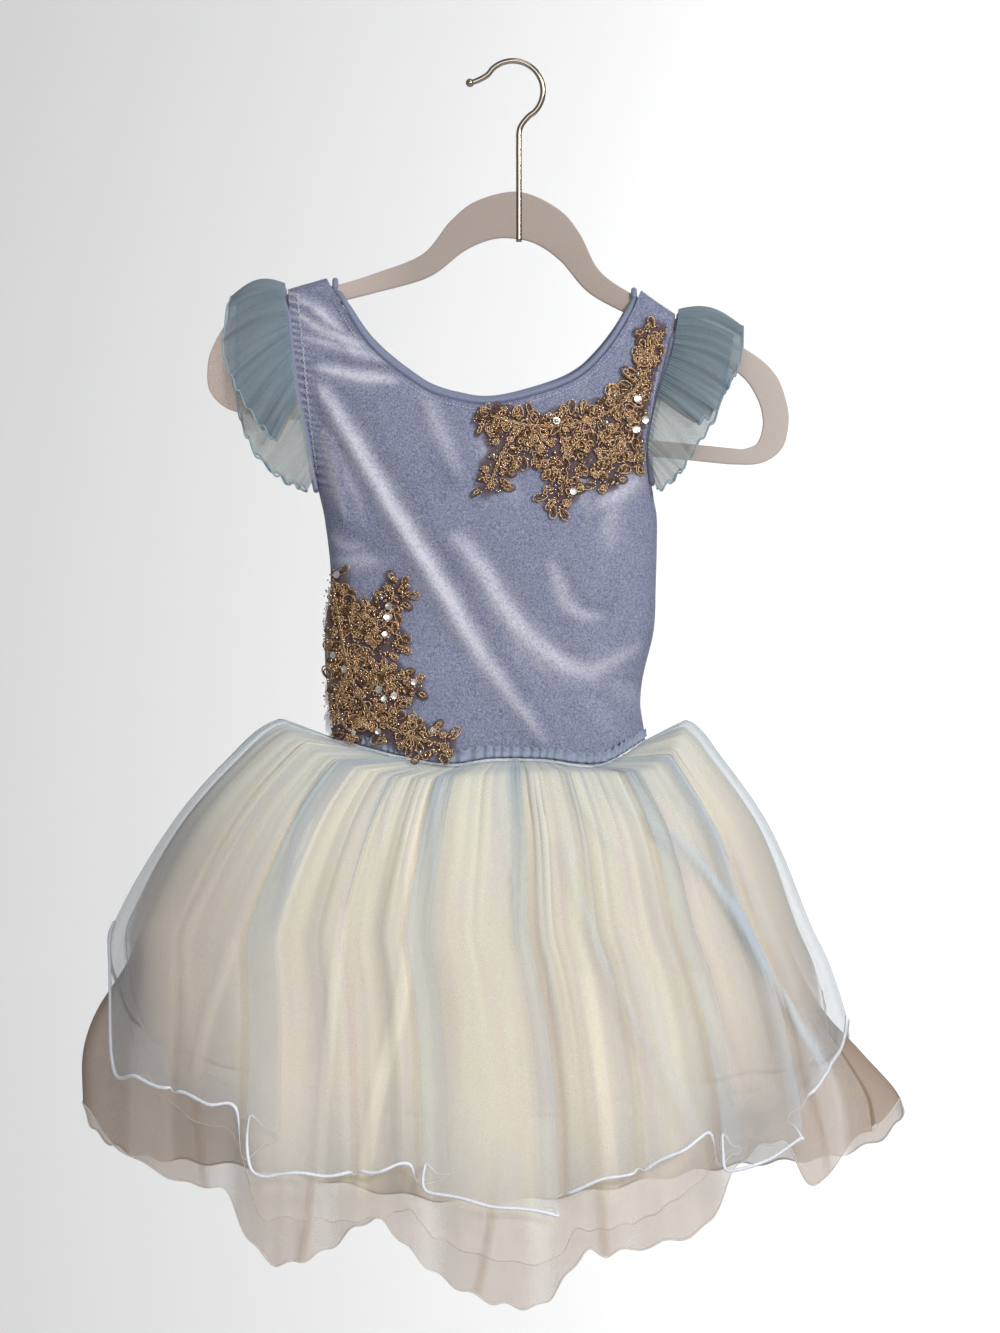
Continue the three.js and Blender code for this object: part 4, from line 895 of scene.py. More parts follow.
sleeve = {"columns": 280, "rows": 20, "shoulder": 0.1, "back": 0.8, "hem": 0.55}
sleeveTiers = {
    "sleeve_left_upper": {"stand": 5.2, "puff": 6, "waves": 9, "ruffle": 3, "rows": table(
        "i seamX seamZ hemX hemZ forward", [
            (0, -136.3, -207, -146, -233, 22), (0.25, -139.1, -188, -158, -220, 27),
            (0.5, -140.9, -170, -170, -200, 28), (0.75, -142.3, -155, -178, -176, 24),
            (1, -144.1, -135, -174, -142, 12)])},
    "sleeve_left_lower": {"stand": 3.6, "puff": 1, "waves": 8, "ruffle": 2.4, "rows": table(
        "i seamX seamZ hemX hemZ forward", [
            (0, -125.6, -254, -127, -263, 10), (0.25, -130.2, -233, -142, -256, 12),
            (0.5, -136.7, -200, -160, -238, 13), (0.75, -141.7, -166, -170, -206, 13),
            (1, -144.1, -137.6, -170, -145, 9)])},
    "sleeve_right_upper": {"stand": 5.2, "puff": 6, "waves": 9, "ruffle": 3, "rows": table(
        "i seamX seamZ hemX hemZ forward", [
            (0, 92.4, -205, 112, -222, 22), (0.25, 96.4, -193, 124, -215, 27),
            (0.5, 100.8, -180, 133, -198, 27), (0.75, 103.6, -168, 140, -183, 22),
            (1, 105.6, -151, 142, -161, 12)])},
    "sleeve_right_lower": {"stand": 3.6, "puff": 1, "waves": 8, "ruffle": 2.4, "rows": table(
        "i seamX seamZ hemX hemZ forward", [
            (0, 88.4, -251, 89, -264, 10), (0.25, 86.6, -236, 101, -254, 12),
            (0.5, 91.4, -210, 112, -238, 13), (0.75, 100.4, -182, 127, -212, 13),
            (1, 105.6, -153.4, 136, -165, 9)])},
}


def plyCount(points, ring=False):  # more cloth in the line of sight where a fold stands on edge to the front
    if ring:
        across = np.roll(points, -1, 1) - np.roll(points, 1, 1)
    else:
        across = np.gradient(points, axis=1)
    normal = np.cross(across, np.gradient(points, axis=0))
    normal /= np.linalg.norm(normal, axis=-1)[..., None] + 1e-9
    return 1 / np.clip(np.abs(normal[..., 1]), 0.3, 1)


def makeSleeve(name, seed):
    tier = sleeveTiers[name]
    left = "left" in name
    out = np.linspace(1, 0, sleeve["rows"])[:, None]
    along = np.linspace(-1, 1, sleeve["columns"])[None, :]
    down = np.abs(along)
    read = lambda column: readTable(tier["rows"], "i", column, 1 - down)
    gap = readTable(bodiceRows, "z", "openLeft" if left else "openRight", read("seamZ"))
    turn = np.sin(np.minimum(1, down / sleeve["shoulder"]) * math.pi / 2)
    wave = tier["ruffle"] * out * np.sin(tier["waves"] * math.pi * (along + 1))
    arch = tier["puff"] * np.sin(math.pi * out)
    share = (along + 1) / 2
    tall = wander(seed, 22, share, 0.4, 1.0)
    fine = tall * np.sin(46 * math.pi * share + 5 * wander(seed + 1, 9, share)) * (0.35 + 0.5 * out)
    gathers = 0.5 * np.sin(120 * math.pi * share + 6 * wander(seed + 2, 17, share))
    gathers = gathers * np.exp(-out * 5)
    stands = lerp(gap + tier["stand"], read("forward"), out) + (wave + arch) * down ** 0.5 + fine + gathers
    y = np.sign(along) * turn * stands * np.where(along > 0, sleeve["back"], 1)
    lift = (0.4 * wave + arch) * (1 - down) ** 2 + 0.5 * fine
    hemDip = out**3 * 1.6 * np.sin(30 * math.pi * share + 4 * wander(seed + 3, 8, share))
    x = lerp(read("seamX") + (3.4 if left else -3.4), read("hemX"), out)
    z = lerp(read("seamZ"), read("hemZ"), out) + lift + hemDip
    points = np.stack([x, y + 0 * x, z], -1)
    if not left:
        points = points[:, ::-1]
    plies = plyCount(points) + 0.8 * np.exp(-out * 7)
    u = np.broadcast_to(np.linspace(0, 4, sleeve["columns"])[None], plies.shape)
    finish = "sleeve" if "upper" in name else "sleevePale"
    piece = meshPiece(name + "_tulle", points, gridFaces(*plies.shape), finishes[finish],
                      uv=np.stack([u, 0.4 * out + 0 * u], -1), values={"plies": plies})
    hem = tubePiece(name + "_hem", [(points[0], sleeve["hem"])], finishes["sleeveHem"], 6)
    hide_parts(name)
    return piece, hem


sleeves = {name: makeSleeve(name, 40 + 10 * k) for k, name in enumerate(sleeveTiers)}
print("sleeves are made")


# waist frill

frill = {"waves": 96, "tall": 7.0, "deep": 1.5, "stand": 1.1, "rows": 7}


def makeFrill():
    count = frill["waves"] * 8
    turn = 2 * math.pi * np.arange(count) / count
    share = (1 - np.cos(turn)) / 2
    seamX = lerp(waistRows[0]["x"], waistRows[-1]["x"], share)
    rise = 1 + 1.2 * np.abs(2 * share - 1) ** 4
    close = 1 - 0.75 * np.abs(2 * share - 1) ** 12  # the ruffle flattens into the side seams
    wobble = wander(5, 60, turn / (2 * math.pi), 0.6, 1.0)
    points = np.zeros((frill["rows"], count, 3))
    for r in range(frill["rows"]):
        up = r / (frill["rows"] - 1)
        curl = np.sin(frill["waves"] * turn + 2.2 * np.sin(7 * turn) + 1.3 * np.sin(19 * turn + 1))
        z = readTable(waistRows, "x", "z", seamX) + rise
        z = z + frill["tall"] * up * (0.5 + 0.5 * wobble) * (0.4 + 0.6 * close)
        z = z + 0.8 * up * np.cos(frill["waves"] * turn)
        x = lerp(readTable(bodiceRows, "z", "left", z), readTable(bodiceRows, "z", "right", z), share)
        stand = frill["stand"] + frill["deep"] * wobble * (0.35 + 0.65 * abs(2 * up - 0.9)) * (1 + curl) * close
        for face in ("front", "back"):
            here = turn < math.pi if face == "front" else turn >= math.pi
            points[r, here] = onBodice(face, x[here], z[here], stand[here])
    piece = meshPiece("waist_frill_ruffle", points, gridFaces(frill["rows"], count, True), finishes["frill"])
    thicken(piece, 0.4)
    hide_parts("waist_frill")
    return piece


frillPiece = makeFrill()
print("waist frill is made")


# skirt

skirtRows = table("z left right front back lift fold", [
    (-740, -257, 223, 122, 60, 0, 1), (-642, -255, 217, 113, 57, 0, 0.95), (-610, -253, 211, 108, 56, 0, 0.92),
    (-585, -251, 205, 103, 55, 0, 0.9), (-555, -250, 195, 97, 53, 0, 0.85), (-532, -247, 184, 91, 51, 0, 0.8),
    (-475, -212, 158, 73, 45, 4, 0.6), (-442, -176, 129, 56, 38, 13, 0.22), (-424, -142, 105, 43, 31, 20, 0.1),
    (-416, -112, 84, 37, 27, 0, 0)])
layerRows = table("z room insetLeft insetRight", [
    (-740, 13, -9, -23), (-642, 12, -10, -23), (-610, 11.5, -12, -4), (-585, 11, -6, 13), (-555, 10, 12, 20),
    (-532, 9, 19, 18), (-475, 6, 12, 12), (-442, 5, 9, 9), (-424, 3.3, 6, 6), (-416, 1.4, 2.8, 2.8)])
# over is 1 where a flute lies over the next one, and 0 where the next one lies over it
skirtFlutes = table("start end deep over lap", [
    (-246, -211, 2.5, 0, 0), (-201, -167, 9, 0, 17), (-157, -100, 2.5, 0, 0), (-90, -62, 8, 0, 13),
    (-52, 23, 9, 1, 7), (33, 70, 2.5, 0, 0), (80, 117, 8, 0, 9), (127, 172, 7, 1, 6), (182, 207, 0, 0, 0)])
hemColumns = "start mid end"
skirtLayers = {
    "skirt_blue": {"order": 0, "left": -532, "right": -588, "back": -650, "hem": 1.05, "flutes": table(
        hemColumns, [(-614, -621, -626), (-629, -634, -638), (-674, -676, -676), (-675, -673, -670),
                     (-686, -694, -700), (-686, -680, -675), (-672, -663, -652), (-675, -668, -658),
                     (-630, -618, -606)])},
    "skirt_ivory": {"order": 1, "left": -518, "right": -572, "back": -668, "hem": 0.25, "flutes": table(
        hemColumns, [(-584, -616, -634), (-640, -650, -656), (-696, -703, -705), (-704, -702, -698),
                     (-712, -727, -728), (-712, -710, -706), (-702, -690, -676), (-660, -656, -648),
                     (-622, -610, -598)])},
    "skirt_nude": {"order": 2, "left": -639, "right": -640, "back": -700, "hem": 0.6, "flutes": table(
        hemColumns, [(-658, -673, -681), (-685, -691, -693), (-727, -731, -716), (-700, -712, -724),
                     (-735, -754, -754), (-728, -727, -724), (-722, -718, -708), (-686, -664, -668),
                     (-694, -668, -655)])},
}
# creases and narrow pressed folds of the front, in x and z, with width, extra plies and how far they stand out
ruckColumns = "width plies stand nodes"
skirtRucks = {
    "skirt_blue": table(ruckColumns, [
        (4.2, 5.0, 1.4, [(99, -474), (135, -520), (169, -582), (192, -619)]),
        (4.5, 1.3, 1.0, [(30, -478), (40, -510), (60, -560), (84, -606), (108, -650)]),
        (4.0, 1.0, 0.8, [(64, -530), (82, -580), (102, -630), (120, -672)]),
        (9.0, 0.7, 1.0, [(-174, -444), (-222, -506), (-242, -578), (-244, -606)]),
        (3.6, 1.0, 0.7, [(-126, -424), (-160, -465), (-193, -520)]),
        (5.0, 0.6, 0.7, [(-150, -440), (-190, -500), (-208, -560)]),
        (7.0, 0.8, 0.8, [(-112, -424), (-128, -470), (-142, -530)]),
        (1.6, 1.2, -0.8, [(-14, -428), (0, -498), (6, -540)]),
        (3.0, 1.0, 0.8, [(10, -430), (19, -480), (22, -560), (26, -650)]),
        (6.0, 0.9, 1.0, [(52, -438), (90, -475), (112, -500)]),
        (5.0, 0.7, 0.9, [(70, -432), (120, -470), (150, -520), (172, -570)]),
        (5.0, 0.9, 0.6, [(-46, -432), (-48, -480), (-46, -560)]),
        (3.0, 0.8, 0.6, [(-70, -430), (-78, -470), (-80, -505)]),
        (3.0, 1.2, 0.8, [(34, -432), (44, -460), (64, -486)])]),
    "skirt_ivory": table(ruckColumns, [
        (7.0, 0.8, 1.2, [(-62, -470), (-66, -560), (-84, -640), (-92, -700)]),
        (6.0, 0.6, 1.0, [(-104, -520), (-112, -600), (-118, -690)]),
        (7.0, 0.7, 1.2, [(42, -560), (52, -620), (62, -700)]),
        (6.0, 0.6, 1.0, [(-170, -540), (-186, -590), (-196, -640)]),
        (7.0, 0.6, 1.0, [(110, -560), (128, -610), (140, -650)])]),
    "skirt_nude": table(ruckColumns, [
        (3.5, 0.7, 0.8, [(-198, -600), (-192, -650), (-186, -700)]),
        (4.0, 0.6, 0.8, [(-120, -640), (-124, -700), (-130, -740)]),
        (4.0, 0.7, 0.8, [(-10, -660), (-14, -710), (-24, -760)]),
        (5.0, 0.6, 0.8, [(46, -640), (52, -690), (56, -740)]),
        (4.0, 0.6, 0.8, [(172, -600), (186, -650), (194, -690)])]),
}
skirt = {
    "backFlutes": 6, "backFold": 8, "bulge": 3.5, "step": 22, "drop": 0.2, "level": -650, "perKnot": 9, "rings": 84,
    "gathers": 66, "creases": 33,
}
layerLooks = {
    "skirt_blue": {"seed": 11, "finish": "tulleBlue", "slot": "tulle_blue", "hem": "satin",
        "gather": 1.0, "thin": 1.0, "crease": 1.0, "fadeFrom": 0},
    "skirt_ivory": {"seed": 23, "finish": "tulleIvory", "slot": "tulle_ivory", "hem": "hemIvory",
        "gather": 0.8, "thin": 0.06, "crease": 0.7, "fadeFrom": 14},
    "skirt_nude": {"seed": 37, "finish": "tulleNude", "slot": "tulle_nude", "hem": "hemPale",
        "gather": 0.6, "thin": 1.0, "crease": 0.6, "fadeFrom": 0},
}


def skirtKnots(layer):  # rows of side, hem, crest, trough and face, once round the skirt
    left = float(readTable(skirtRows, "z", "left", skirt["level"]))
    right = float(readTable(skirtRows, "z", "right", skirt["level"]))
    share = lambda x: (2 * x - left - right) / (right - left)
    knots = [(-1, layer["left"], 0, 0, -1)]
    if layer["order"]:
        return innerKnots(layer, share)
    flutes = list(zip(skirtFlutes, layer["flutes"]))
    for i, (flute, hem) in enumerate(flutes):
        start, end, deep = flute["start"], flute["end"], flute["deep"]
        steps = int(np.clip(round((end - start) / skirt["step"]), 2, 4))
        for k in range(steps + 1):
            t = k / steps
            sag = 4 * t * (1 - t) * (hem["mid"] - (hem["start"] + hem["end"]) / 2)
            knots.append((share(lerp(start, end, t)), lerp(hem["start"], hem["end"], t) + sag,
                          math.sin(math.pi * t), 0, -1))
        if deep > 0:
            after = flutes[i + 1]
            hemAt = lambda t: lerp(hem["end"], after[1]["start"], t)
            lap = flute["lap"]
            if lap:  # the cloth turns back under itself and comes out again
                way, edge = (1, end) if flute["over"] else (-1, after[0]["start"])
                bends = [(1.5, 0.1, 0.1), (-0.45 * lap, 0.3, 0.3), (-lap, 0.45, 0.5), (-0.45 * lap, 0.6, 0.66)]
                folded = [(share(edge + way * x), hemAt(t), 0, low * deep, -1) for x, t, low in bends]
                middle = (share((end + after[0]["start"]) / 2), hemAt(0.8), 0, 0.6 * deep, -1)
                knots += folded + [middle] if flute["over"] else [middle] + folded[::-1]
            else:
                knots.append((share((end + after[0]["start"]) / 2), hemAt(0.5), 0, deep, -1))
    knots.append((1, layer["right"], 0, 0, -1))
    return np.array(knots + backKnots(layer), float)


def innerKnots(layer, share):  # an under layer has fewer, rounder flutes of its own below the same hem line
    places = []
    for flute, hem in zip(skirtFlutes, layer["flutes"]):
        start, end = flute["start"], flute["end"]
        places += [{"x": start, "hem": hem["start"]}, {"x": (start + end) / 2, "hem": hem["mid"]}]
        places.append({"x": end, "hem": hem["end"]})
    knots = [(-1, layer["left"], 0, 0, -1)]
    x = places[0]["x"]
    turn = np.random.default_rng(layer["order"] * 7)
    while x < places[-1]["x"]:
        wide = turn.uniform(30, 78)
        for t in (0, 0.25, 0.5, 0.75):
            at = min(x + wide * t, places[-1]["x"])
            hem = float(readTable(places, "x", "hem", at))
            knots.append((share(at), hem, math.sin(math.pi * t), 0.0 if t else turn.uniform(0.6, 2.4), -1))
        x += wide
    knots.append((1, layer["right"], 0, 0, -1))
    return np.array(knots + backKnots(layer), float)


def backKnots(layer):
    knots = []
    steps = skirt["backFlutes"] * 4
    for i in range(1, steps):
        t = i / steps
        hem = lerp(layer["back"], lerp(layer["right"], layer["left"], t), (2 * t - 1) ** 2)
        knots.append((math.cos(math.pi * t), hem - 6 * math.sin(5 * math.pi * t),
                      math.sin(math.pi * (i % 4) / 4), skirt["backFold"] if i % 4 == 0 else 0, 1))
    return knots


def onSkirt(order, side, crest, trough, face, z):
    read = lambda column: readTable(skirtRows, "z", column, z)
    room = readTable(layerRows, "z", "room", z)
    far = np.where(side < 0, *[readTable(layerRows, "z", column, z) for column in ("insetLeft", "insetRight")])
    inset = [0 * room, room, far][order]
    fold = read("fold")
    power = lerp(2.6, 1.3, fold) if order == 2 else lerp(2.6, 5, fold)
    rounded = np.maximum(0, 1 - np.abs(side) ** power) ** 0.5
    front = face < 0
    stand = np.where(front, read("front"), read("back")) - order * room * np.where(front, 1, 0.5)
    folds = fold * (skirt["bulge"] * crest - trough) * np.minimum(1, 2 * rounded)
    middle = (read("left") + read("right")) / 2
    half = (read("right") - read("left")) / 2
    x = middle + half * side - np.sign(side) * inset * np.abs(side) ** 12
    lift = read("lift") * (1 - skirt["drop"] * order) * side * side
    return np.stack([x, np.where(front, -1, 1) * (stand * rounded + folds), z + lift], -1)


def skirtSeam(order, side, face):
    x = lerp(waistRows[0]["x"], waistRows[-1]["x"], (side + 1) / 2)
    z = readTable(waistRows, "x", "z", x)
    layerStep = 1.9
    front = onBodice("front", x, z, 0.6 - order * layerStep + 0 * x)
    back = onBodice("back", x, z, 0.6 - order * layerStep + 0 * x)
    seam = np.where((face < 0)[:, None], front, back)
    seam[:, 2] = z - 0.36 - order * layerStep
    return seam


def skirtSurface(name):
    layer = skirtLayers[name]
    look = layerLooks[name]
    order = layer["order"]
    fine = spline(skirtKnots(layer), skirt["perKnot"], True)
    side = np.clip(fine[:, 0], -1, 1)
    hem, crest, trough = fine[:, 1], fine[:, 2], np.maximum(0, fine[:, 3])
    turned = np.arange(len(side))
    face = np.where((turned > np.argmax(side)), 1, -1)
    seam = skirtSeam(order, side, face)
    top = skirtSeam(0, side, face)[:, 2]
    share = np.linspace(0, 1, skirt["rings"])[:, None] ** 1.25
    around = turned / len(side)
    wavy = 1.6 * np.sin(2 * math.pi * 46 * around + 5 * wander(look["seed"] + 9, 12, around))
    hem = hem + wavy * (1.0 if order == 2 else 0.6)
    z = lerp(top, hem, share)
    base = onSkirt(order, side[None], crest[None], trough[None], face[None], z)
    base[0] = seam
    blend = np.clip((top - z) / 8, 0, 1)[..., None]  # from the seam ring out to the skirt's own form
    base = np.where(blend < 1, lerp(seam[None], onSkirt(order, side[None], crest[None], trough[None], face[None],
                    np.minimum(z, top - 8)), blend), base)
    return base, np.maximum(0, top - z), look, trough


def skirtDraped(name):
    base, down, look, under = skirtSurface(name)
    q = np.arange(base.shape[1])[None] / base.shape[1]
    seed = look["seed"]
    across = np.roll(base, -1, 1) - np.roll(base, 1, 1)
    across[..., 2] = 0
    across /= np.linalg.norm(across, axis=-1)[..., None] + 1e-9
    outward = np.cross(across, np.array([0, 0, 1.0]))
    ringLength = np.linalg.norm(np.diff(base, axis=1), axis=-1).sum(1)[:, None]
    pitch = np.minimum(ringLength / skirt["gathers"], 9)
    reach = lerp(22, 210, wander(seed, 61, q) ** 2.2)
    near = np.exp(-(down / reach) ** 1.2)
    phase = 2 * math.pi * (skirt["gathers"] * q + 1.6 * wander(seed + 1, 37, q))
    strength = look["gather"] * near * wander(seed + 2, 47, q, 0.3, 1.0)
    start = np.clip(down / 6, 0.25, 1)
    lateral = 0.2 * pitch * strength * np.sin(phase) * start
    depth = 0.22 * pitch * strength * np.cos(phase) * start
    hair = np.sin(2 * math.pi * (3.1 * skirt["gathers"] * q + 2.5 * wander(seed + 10, 71, q)))
    depth = depth + 0.5 * look["gather"] * hair * np.exp(-down / lerp(12, 60, wander(seed + 11, 97, q)))
    drift = skirt["creases"] * q + 2.2 * wander(seed + 4, 19, q)
    drift = drift + 0.0012 * down * wander(seed + 5, 23, q, -1, 1)
    crease = wander(seed + 3, 31, q, 0.05, 1.0) * np.sin(2 * math.pi * drift)
    depth = depth + look["crease"] * np.clip(down / 260, 0, 1) * crease
    front = (base[..., 1] < 0) * np.clip(down / 8, 0, 1)
    extra, stand = rucks(skirtRucks[name], base[..., 0], base[..., 2])
    depth = depth + stand * front
    points = base + across * lateral[..., None] + outward * depth[..., None]
    bunchReach = lerp(20, 90, wander(seed + 7, 53, q))
    bunched = look["gather"] * wander(seed + 6, 83, q, 0.0, 1.0) * np.exp(-down / bunchReach)
    return points, down, look, extra * front + 1.6 * bunched, under


def rucks(lines, x, z):  # extra plies and standing height along the narrow folds
    extra = np.zeros_like(x)
    stand = np.zeros_like(x)
    for line in lines:
        path = spline(line["nodes"], 8)
        first = np.concatenate([path[:-1], path[1:] - path[:-1]], 1)
        taper = np.sin(np.linspace(0.1, 0.93, len(first)) * math.pi) ** 0.6
        near = np.zeros_like(x)
        for (px, pz, dx, dz), part in zip(first, taper):
            along = np.clip(((x - px) * dx + (z - pz) * dz) / (dx * dx + dz * dz), 0, 1)
            away = np.hypot(x - px - along * dx, z - pz - along * dz) / (line["width"] * 0.62)
            near = np.maximum(near, part * np.exp(-away ** 4))
        extra = extra + line["plies"] * near
        stand = stand + line["stand"] * near
    return extra, stand


def makeSkirt(name):
    layer = skirtLayers[name]
    points, down, look, extra, under = skirtDraped(name)
    points, down, extra = points[::-1], down[::-1], extra[::-1]
    plies = plyCount(points, True) ** 0.7 * (1 + 0.9 * np.exp(-down / 30)) + extra
    toHem = points[..., 2] - points[:1, :, 2]
    plies = plies * lerp(1, 0.45, np.clip(under / 2.5, 0, 1))
    plies = plies * lerp(look["thin"], 1, np.clip((toHem - look["fadeFrom"]) / 70, 0, 1) ** 0.8)
    u = np.broadcast_to(np.linspace(0, 10, down.shape[1])[None], down.shape)
    # how far towards the skirt's sides, where painted shade darkens the colour
    aside = np.clip((np.abs(points[..., 0] + 15) - 110) / 110, 0, 1) * np.clip(down / 60, 0, 1)
    piece = meshPiece(name + "_tulle", points, gridFaces(*down.shape, True), finishes[look["finish"]],
                      uv=np.stack([u, down / 100], -1), values={"plies": plies, "aside": aside})
    lump = 1 + 0.16 * wander(look["seed"] + 8, 400, np.arange(down.shape[1]) / down.shape[1], -1, 1)
    lump = lump * lerp(1, 0.15, np.clip(under / 2.5, 0, 1))
    hem = tubePiece(name + "_hem", [(points[0], layer["hem"] * lump)], finishes[look["hem"]], 6, True)
    merge(hem)
    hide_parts(name)
    return piece, hem


skirts = {name: makeSkirt(name) for name in skirtLayers}
print("skirt layers are made")


# lace and trimmings

def scatterTree():  # places one small shape at each point, turned by the point's facing and along
    tree = bpy.data.node_groups.new("scatterPieces", "GeometryNodeTree")
    sockets = (("Places", "Geometry"), ("Shape", "Object"), ("Size", "Float"), ("Size spread", "Float"),
               ("Seed", "Int"), ("Finish", "Material"))
    for name, kind in sockets:
        tree.interface.new_socket(name, in_out="INPUT", socket_type="NodeSocket" + kind)
    tree.interface.new_socket("Pieces", in_out="OUTPUT", socket_type="NodeSocketGeometry")
    given = tree.nodes.new("NodeGroupInput").outputs
    facingWay = addNode(tree, "GeometryNodeInputNamedAttribute", {"Name": "facing"}, data_type="FLOAT_VECTOR")
    alongWay = addNode(tree, "GeometryNodeInputNamedAttribute", {"Name": "along"}, data_type="FLOAT_VECTOR")
    upright = addNode(tree, "FunctionNodeAlignRotationToVector", {"Vector": facingWay.outputs[0]}, axis="Z")
    turned = addNode(tree, "FunctionNodeAlignRotationToVector", {
        "Rotation": upright.outputs[0], "Vector": alongWay.outputs[0]}, axis="X", pivot_axis="Z")
    chance = addNode(tree, "FunctionNodeRandomValue", {2: -1.0, 3: 1.0, "Seed": given["Seed"]}, data_type="FLOAT")
    change = calc(tree, "MULTIPLY_ADD", chance.outputs[1], given["Size spread"])
    change.node.inputs[2].default_value = 1.0
    size = calc(tree, "MULTIPLY", change, given["Size"])
    shape = addNode(tree, "GeometryNodeObjectInfo", {"Object": given["Shape"]})
    placed = addNode(tree, "GeometryNodeInstanceOnPoints", {
        "Points": given["Places"], "Instance": shape.outputs["Geometry"], "Rotation": turned.outputs[0],
        "Scale": size})
    real = addNode(tree, "GeometryNodeRealizeInstances", {"Geometry": placed.outputs[0]})
    done = addNode(tree, "GeometryNodeSetMaterial", {"Geometry": real.outputs[0], "Material": given["Finish"]})
    tree.links.new(done.outputs[0], tree.nodes.new("NodeGroupOutput").inputs[0])
    return tree


scatterGroup = scatterTree()


def smallShape(kind):  # a bead, a cupped sequin or a stitch, one unit wide
    if kind == "sequin":
        turn = np.linspace(0, 2 * math.pi, 10, endpoint=False)
        rim = np.stack([0.5 * np.cos(turn), 0.5 * np.sin(turn), 0 * turn + 0.06], -1)
        points = np.concatenate([rim, rim * (0.45, 0.45, 0.0), [[0, 0, 0.0]]])
        faces = [[k, (k + 1) % 10, 10 + (k + 1) % 10, 10 + k] for k in range(10)]
        faces += [[10 + k, 10 + (k + 1) % 10, 20] for k in range(10)]
    else:
        points, faces = roundBall((0, 0, 0), 0.5, 6, 5)
        if kind == "stitch":
            points = points * np.array([1, 0.3, 0.22])
    mesh = bpy.data.meshes.new(kind)
    mesh.from_pydata(points.tolist(), [], faces)
    shape = bpy.data.objects.new(kind, mesh)
    bpy.context.scene.collection.objects.link(shape)
    return shape


def scatter(name, kind, places, facingWays, alongWays, size, spread, seed, finish):
    shape = smallShape(kind)
    mesh = bpy.data.meshes.new(name)
    mesh.from_pydata((np.asarray(places) * mm).tolist(), [], [])
    for key, ways in (("facing", facingWays), ("along", alongWays)):
        layer = mesh.attributes.new(key, "FLOAT_VECTOR", "POINT")
        layer.data.foreach_set("vector", np.asarray(ways, float).ravel())
    piece = bpy.data.objects.new(name, mesh)
    bpy.context.scene.collection.objects.link(piece)
    spreader = piece.modifiers.new("scatter", "NODES")
    spreader.node_group = scatterGroup
    values = {"Shape": shape, "Size": size * mm, "Size spread": spread, "Seed": seed, "Finish": finishes[finish]}
    for item in scatterGroup.interface.items_tree:
        if item.name in values:
            spreader[item.identifier] = values[item.name]
    made = bpy.data.meshes.new_from_object(piece.evaluated_get(bpy.context.evaluated_depsgraph_get()))
    piece.modifiers.clear()
    piece.data = made
    made.polygons.foreach_set("use_smooth", [kind != "sequin"] * len(made.polygons))
    bpy.data.objects.remove(shape)
    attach(piece, "root")
    return piece


lace = {
    "cord": 0.5, "sides": 5, "leafLong": 9.0, "leafWide": 4.4, "lift": 2.1, "rise": 0.9, "spread": 10.5,
    "spacing": 4.6, "picot": 1.15, "bead": 1.25, "sequin": 4.2,
}
laceMotifs = {
    "lace_shoulder": {
        "seed": 3, "stones": 7, "sequins": 5, "fill": [
            [(-8, -234), (16, -240), (42, -244), (70, -238)], [(20, -232), (24, -246)], [(82, -200), (84, -222)]],
        "vines": [
            [(87, -168), (82, -190), (64, -212), (38, -223), (8, -224), (-14, -218)],
            [(64, -212), (66, -234), (56, -256)], [(38, -223), (34, -247), (28, -268)],
            [(8, -224), (-5, -238), (-13, -258)], [(72, -206), (76, -226), (74, -244)]],
        "flowers": [(83, -178, 9), (66, -208, 11), (40, -230, 11), (13, -226, 10), (-12, -217, 8), (60, -240, 8)]},
    "lace_waist": {
        "seed": 8, "stones": 3, "sequins": 13, "fill": [
            [(-102, -356), (-88, -362), (-74, -356)], [(-92, -392), (-78, -394)]],
        "vines": [
            [(-108, -322), (-104, -350), (-98, -378), (-85, -402), (-64, -414), (-44, -420)],
            [(-104, -350), (-86, -346), (-72, -328)], [(-98, -376), (-80, -376), (-66, -386)],
            [(-99, -374), (-106, -394), (-98, -410)]],
        "flowers": [(-101, -338, 9), (-84, -350, 8), (-98, -370, 11), (-80, -378, 7), (-86, -402, 10),
                    (-62, -413, 8)]},
}


def onLace(x, z, high):  # a place at this height over the cloth, raised over the frill and at the rounded side
    x = np.asarray(x, float)
    z = np.asarray(z, float)
    overFrill = np.clip((19 + readTable(waistRows, "x", "z", x) - z) / 6, 0, 1)
    roundSide = np.clip((-95 - x) / 10, 0, 1)
    return onBodice("front", x, z, lace["lift"] + 3.2 * overFrill + roundSide + high)


def inGround(x, z, edge=0.0):  # whether lace may lie here, clear of armholes and neck
    left = readTable(bodiceRows, "z", "left", z) + 1 + edge
    right = readTable(bodiceRows, "z", "right", z) - 3 - edge
    necks = table("x z", neckRows)
    under = readTable(necks, "x", "z", x) - 1 - edge
    return (x > left) & (x < right) & ((z < under) | (x > 66) & (z < under - 2)) & (z > -445)


def leafCords(x, z, heading, long, wide):  # an outer loop, an inner loop and a vein, in their own plane
    t = np.linspace(0, 2 * math.pi, 13, endpoint=False)
    cords = []
    for scale, high in ((1.0, 0.1), (0.55, 0.5)):
        along = long * (0.5 - 0.5 * scale * np.cos(t))
        across = wide * 0.5 * scale * np.sin(t) * (1 - 0.35 * np.cos(t))
        px = x + along * math.cos(heading) - across * math.sin(heading)
        pz = z + along * math.sin(heading) + across * math.cos(heading)
        cords.append((np.stack([px, pz], -1), high + 0.25 * np.sin(t), True))
    return cords


def coilCords(x, z, radius, turns=2.2):
    t = np.linspace(0, 1, 20)
    turn = 2 * math.pi * turns * t
    reach = radius * (0.15 + 0.85 * t)
    return [(np.stack([x + reach * np.cos(turn), z + reach * np.sin(turn)], -1), 1.0 - 0.5 * t, False)]


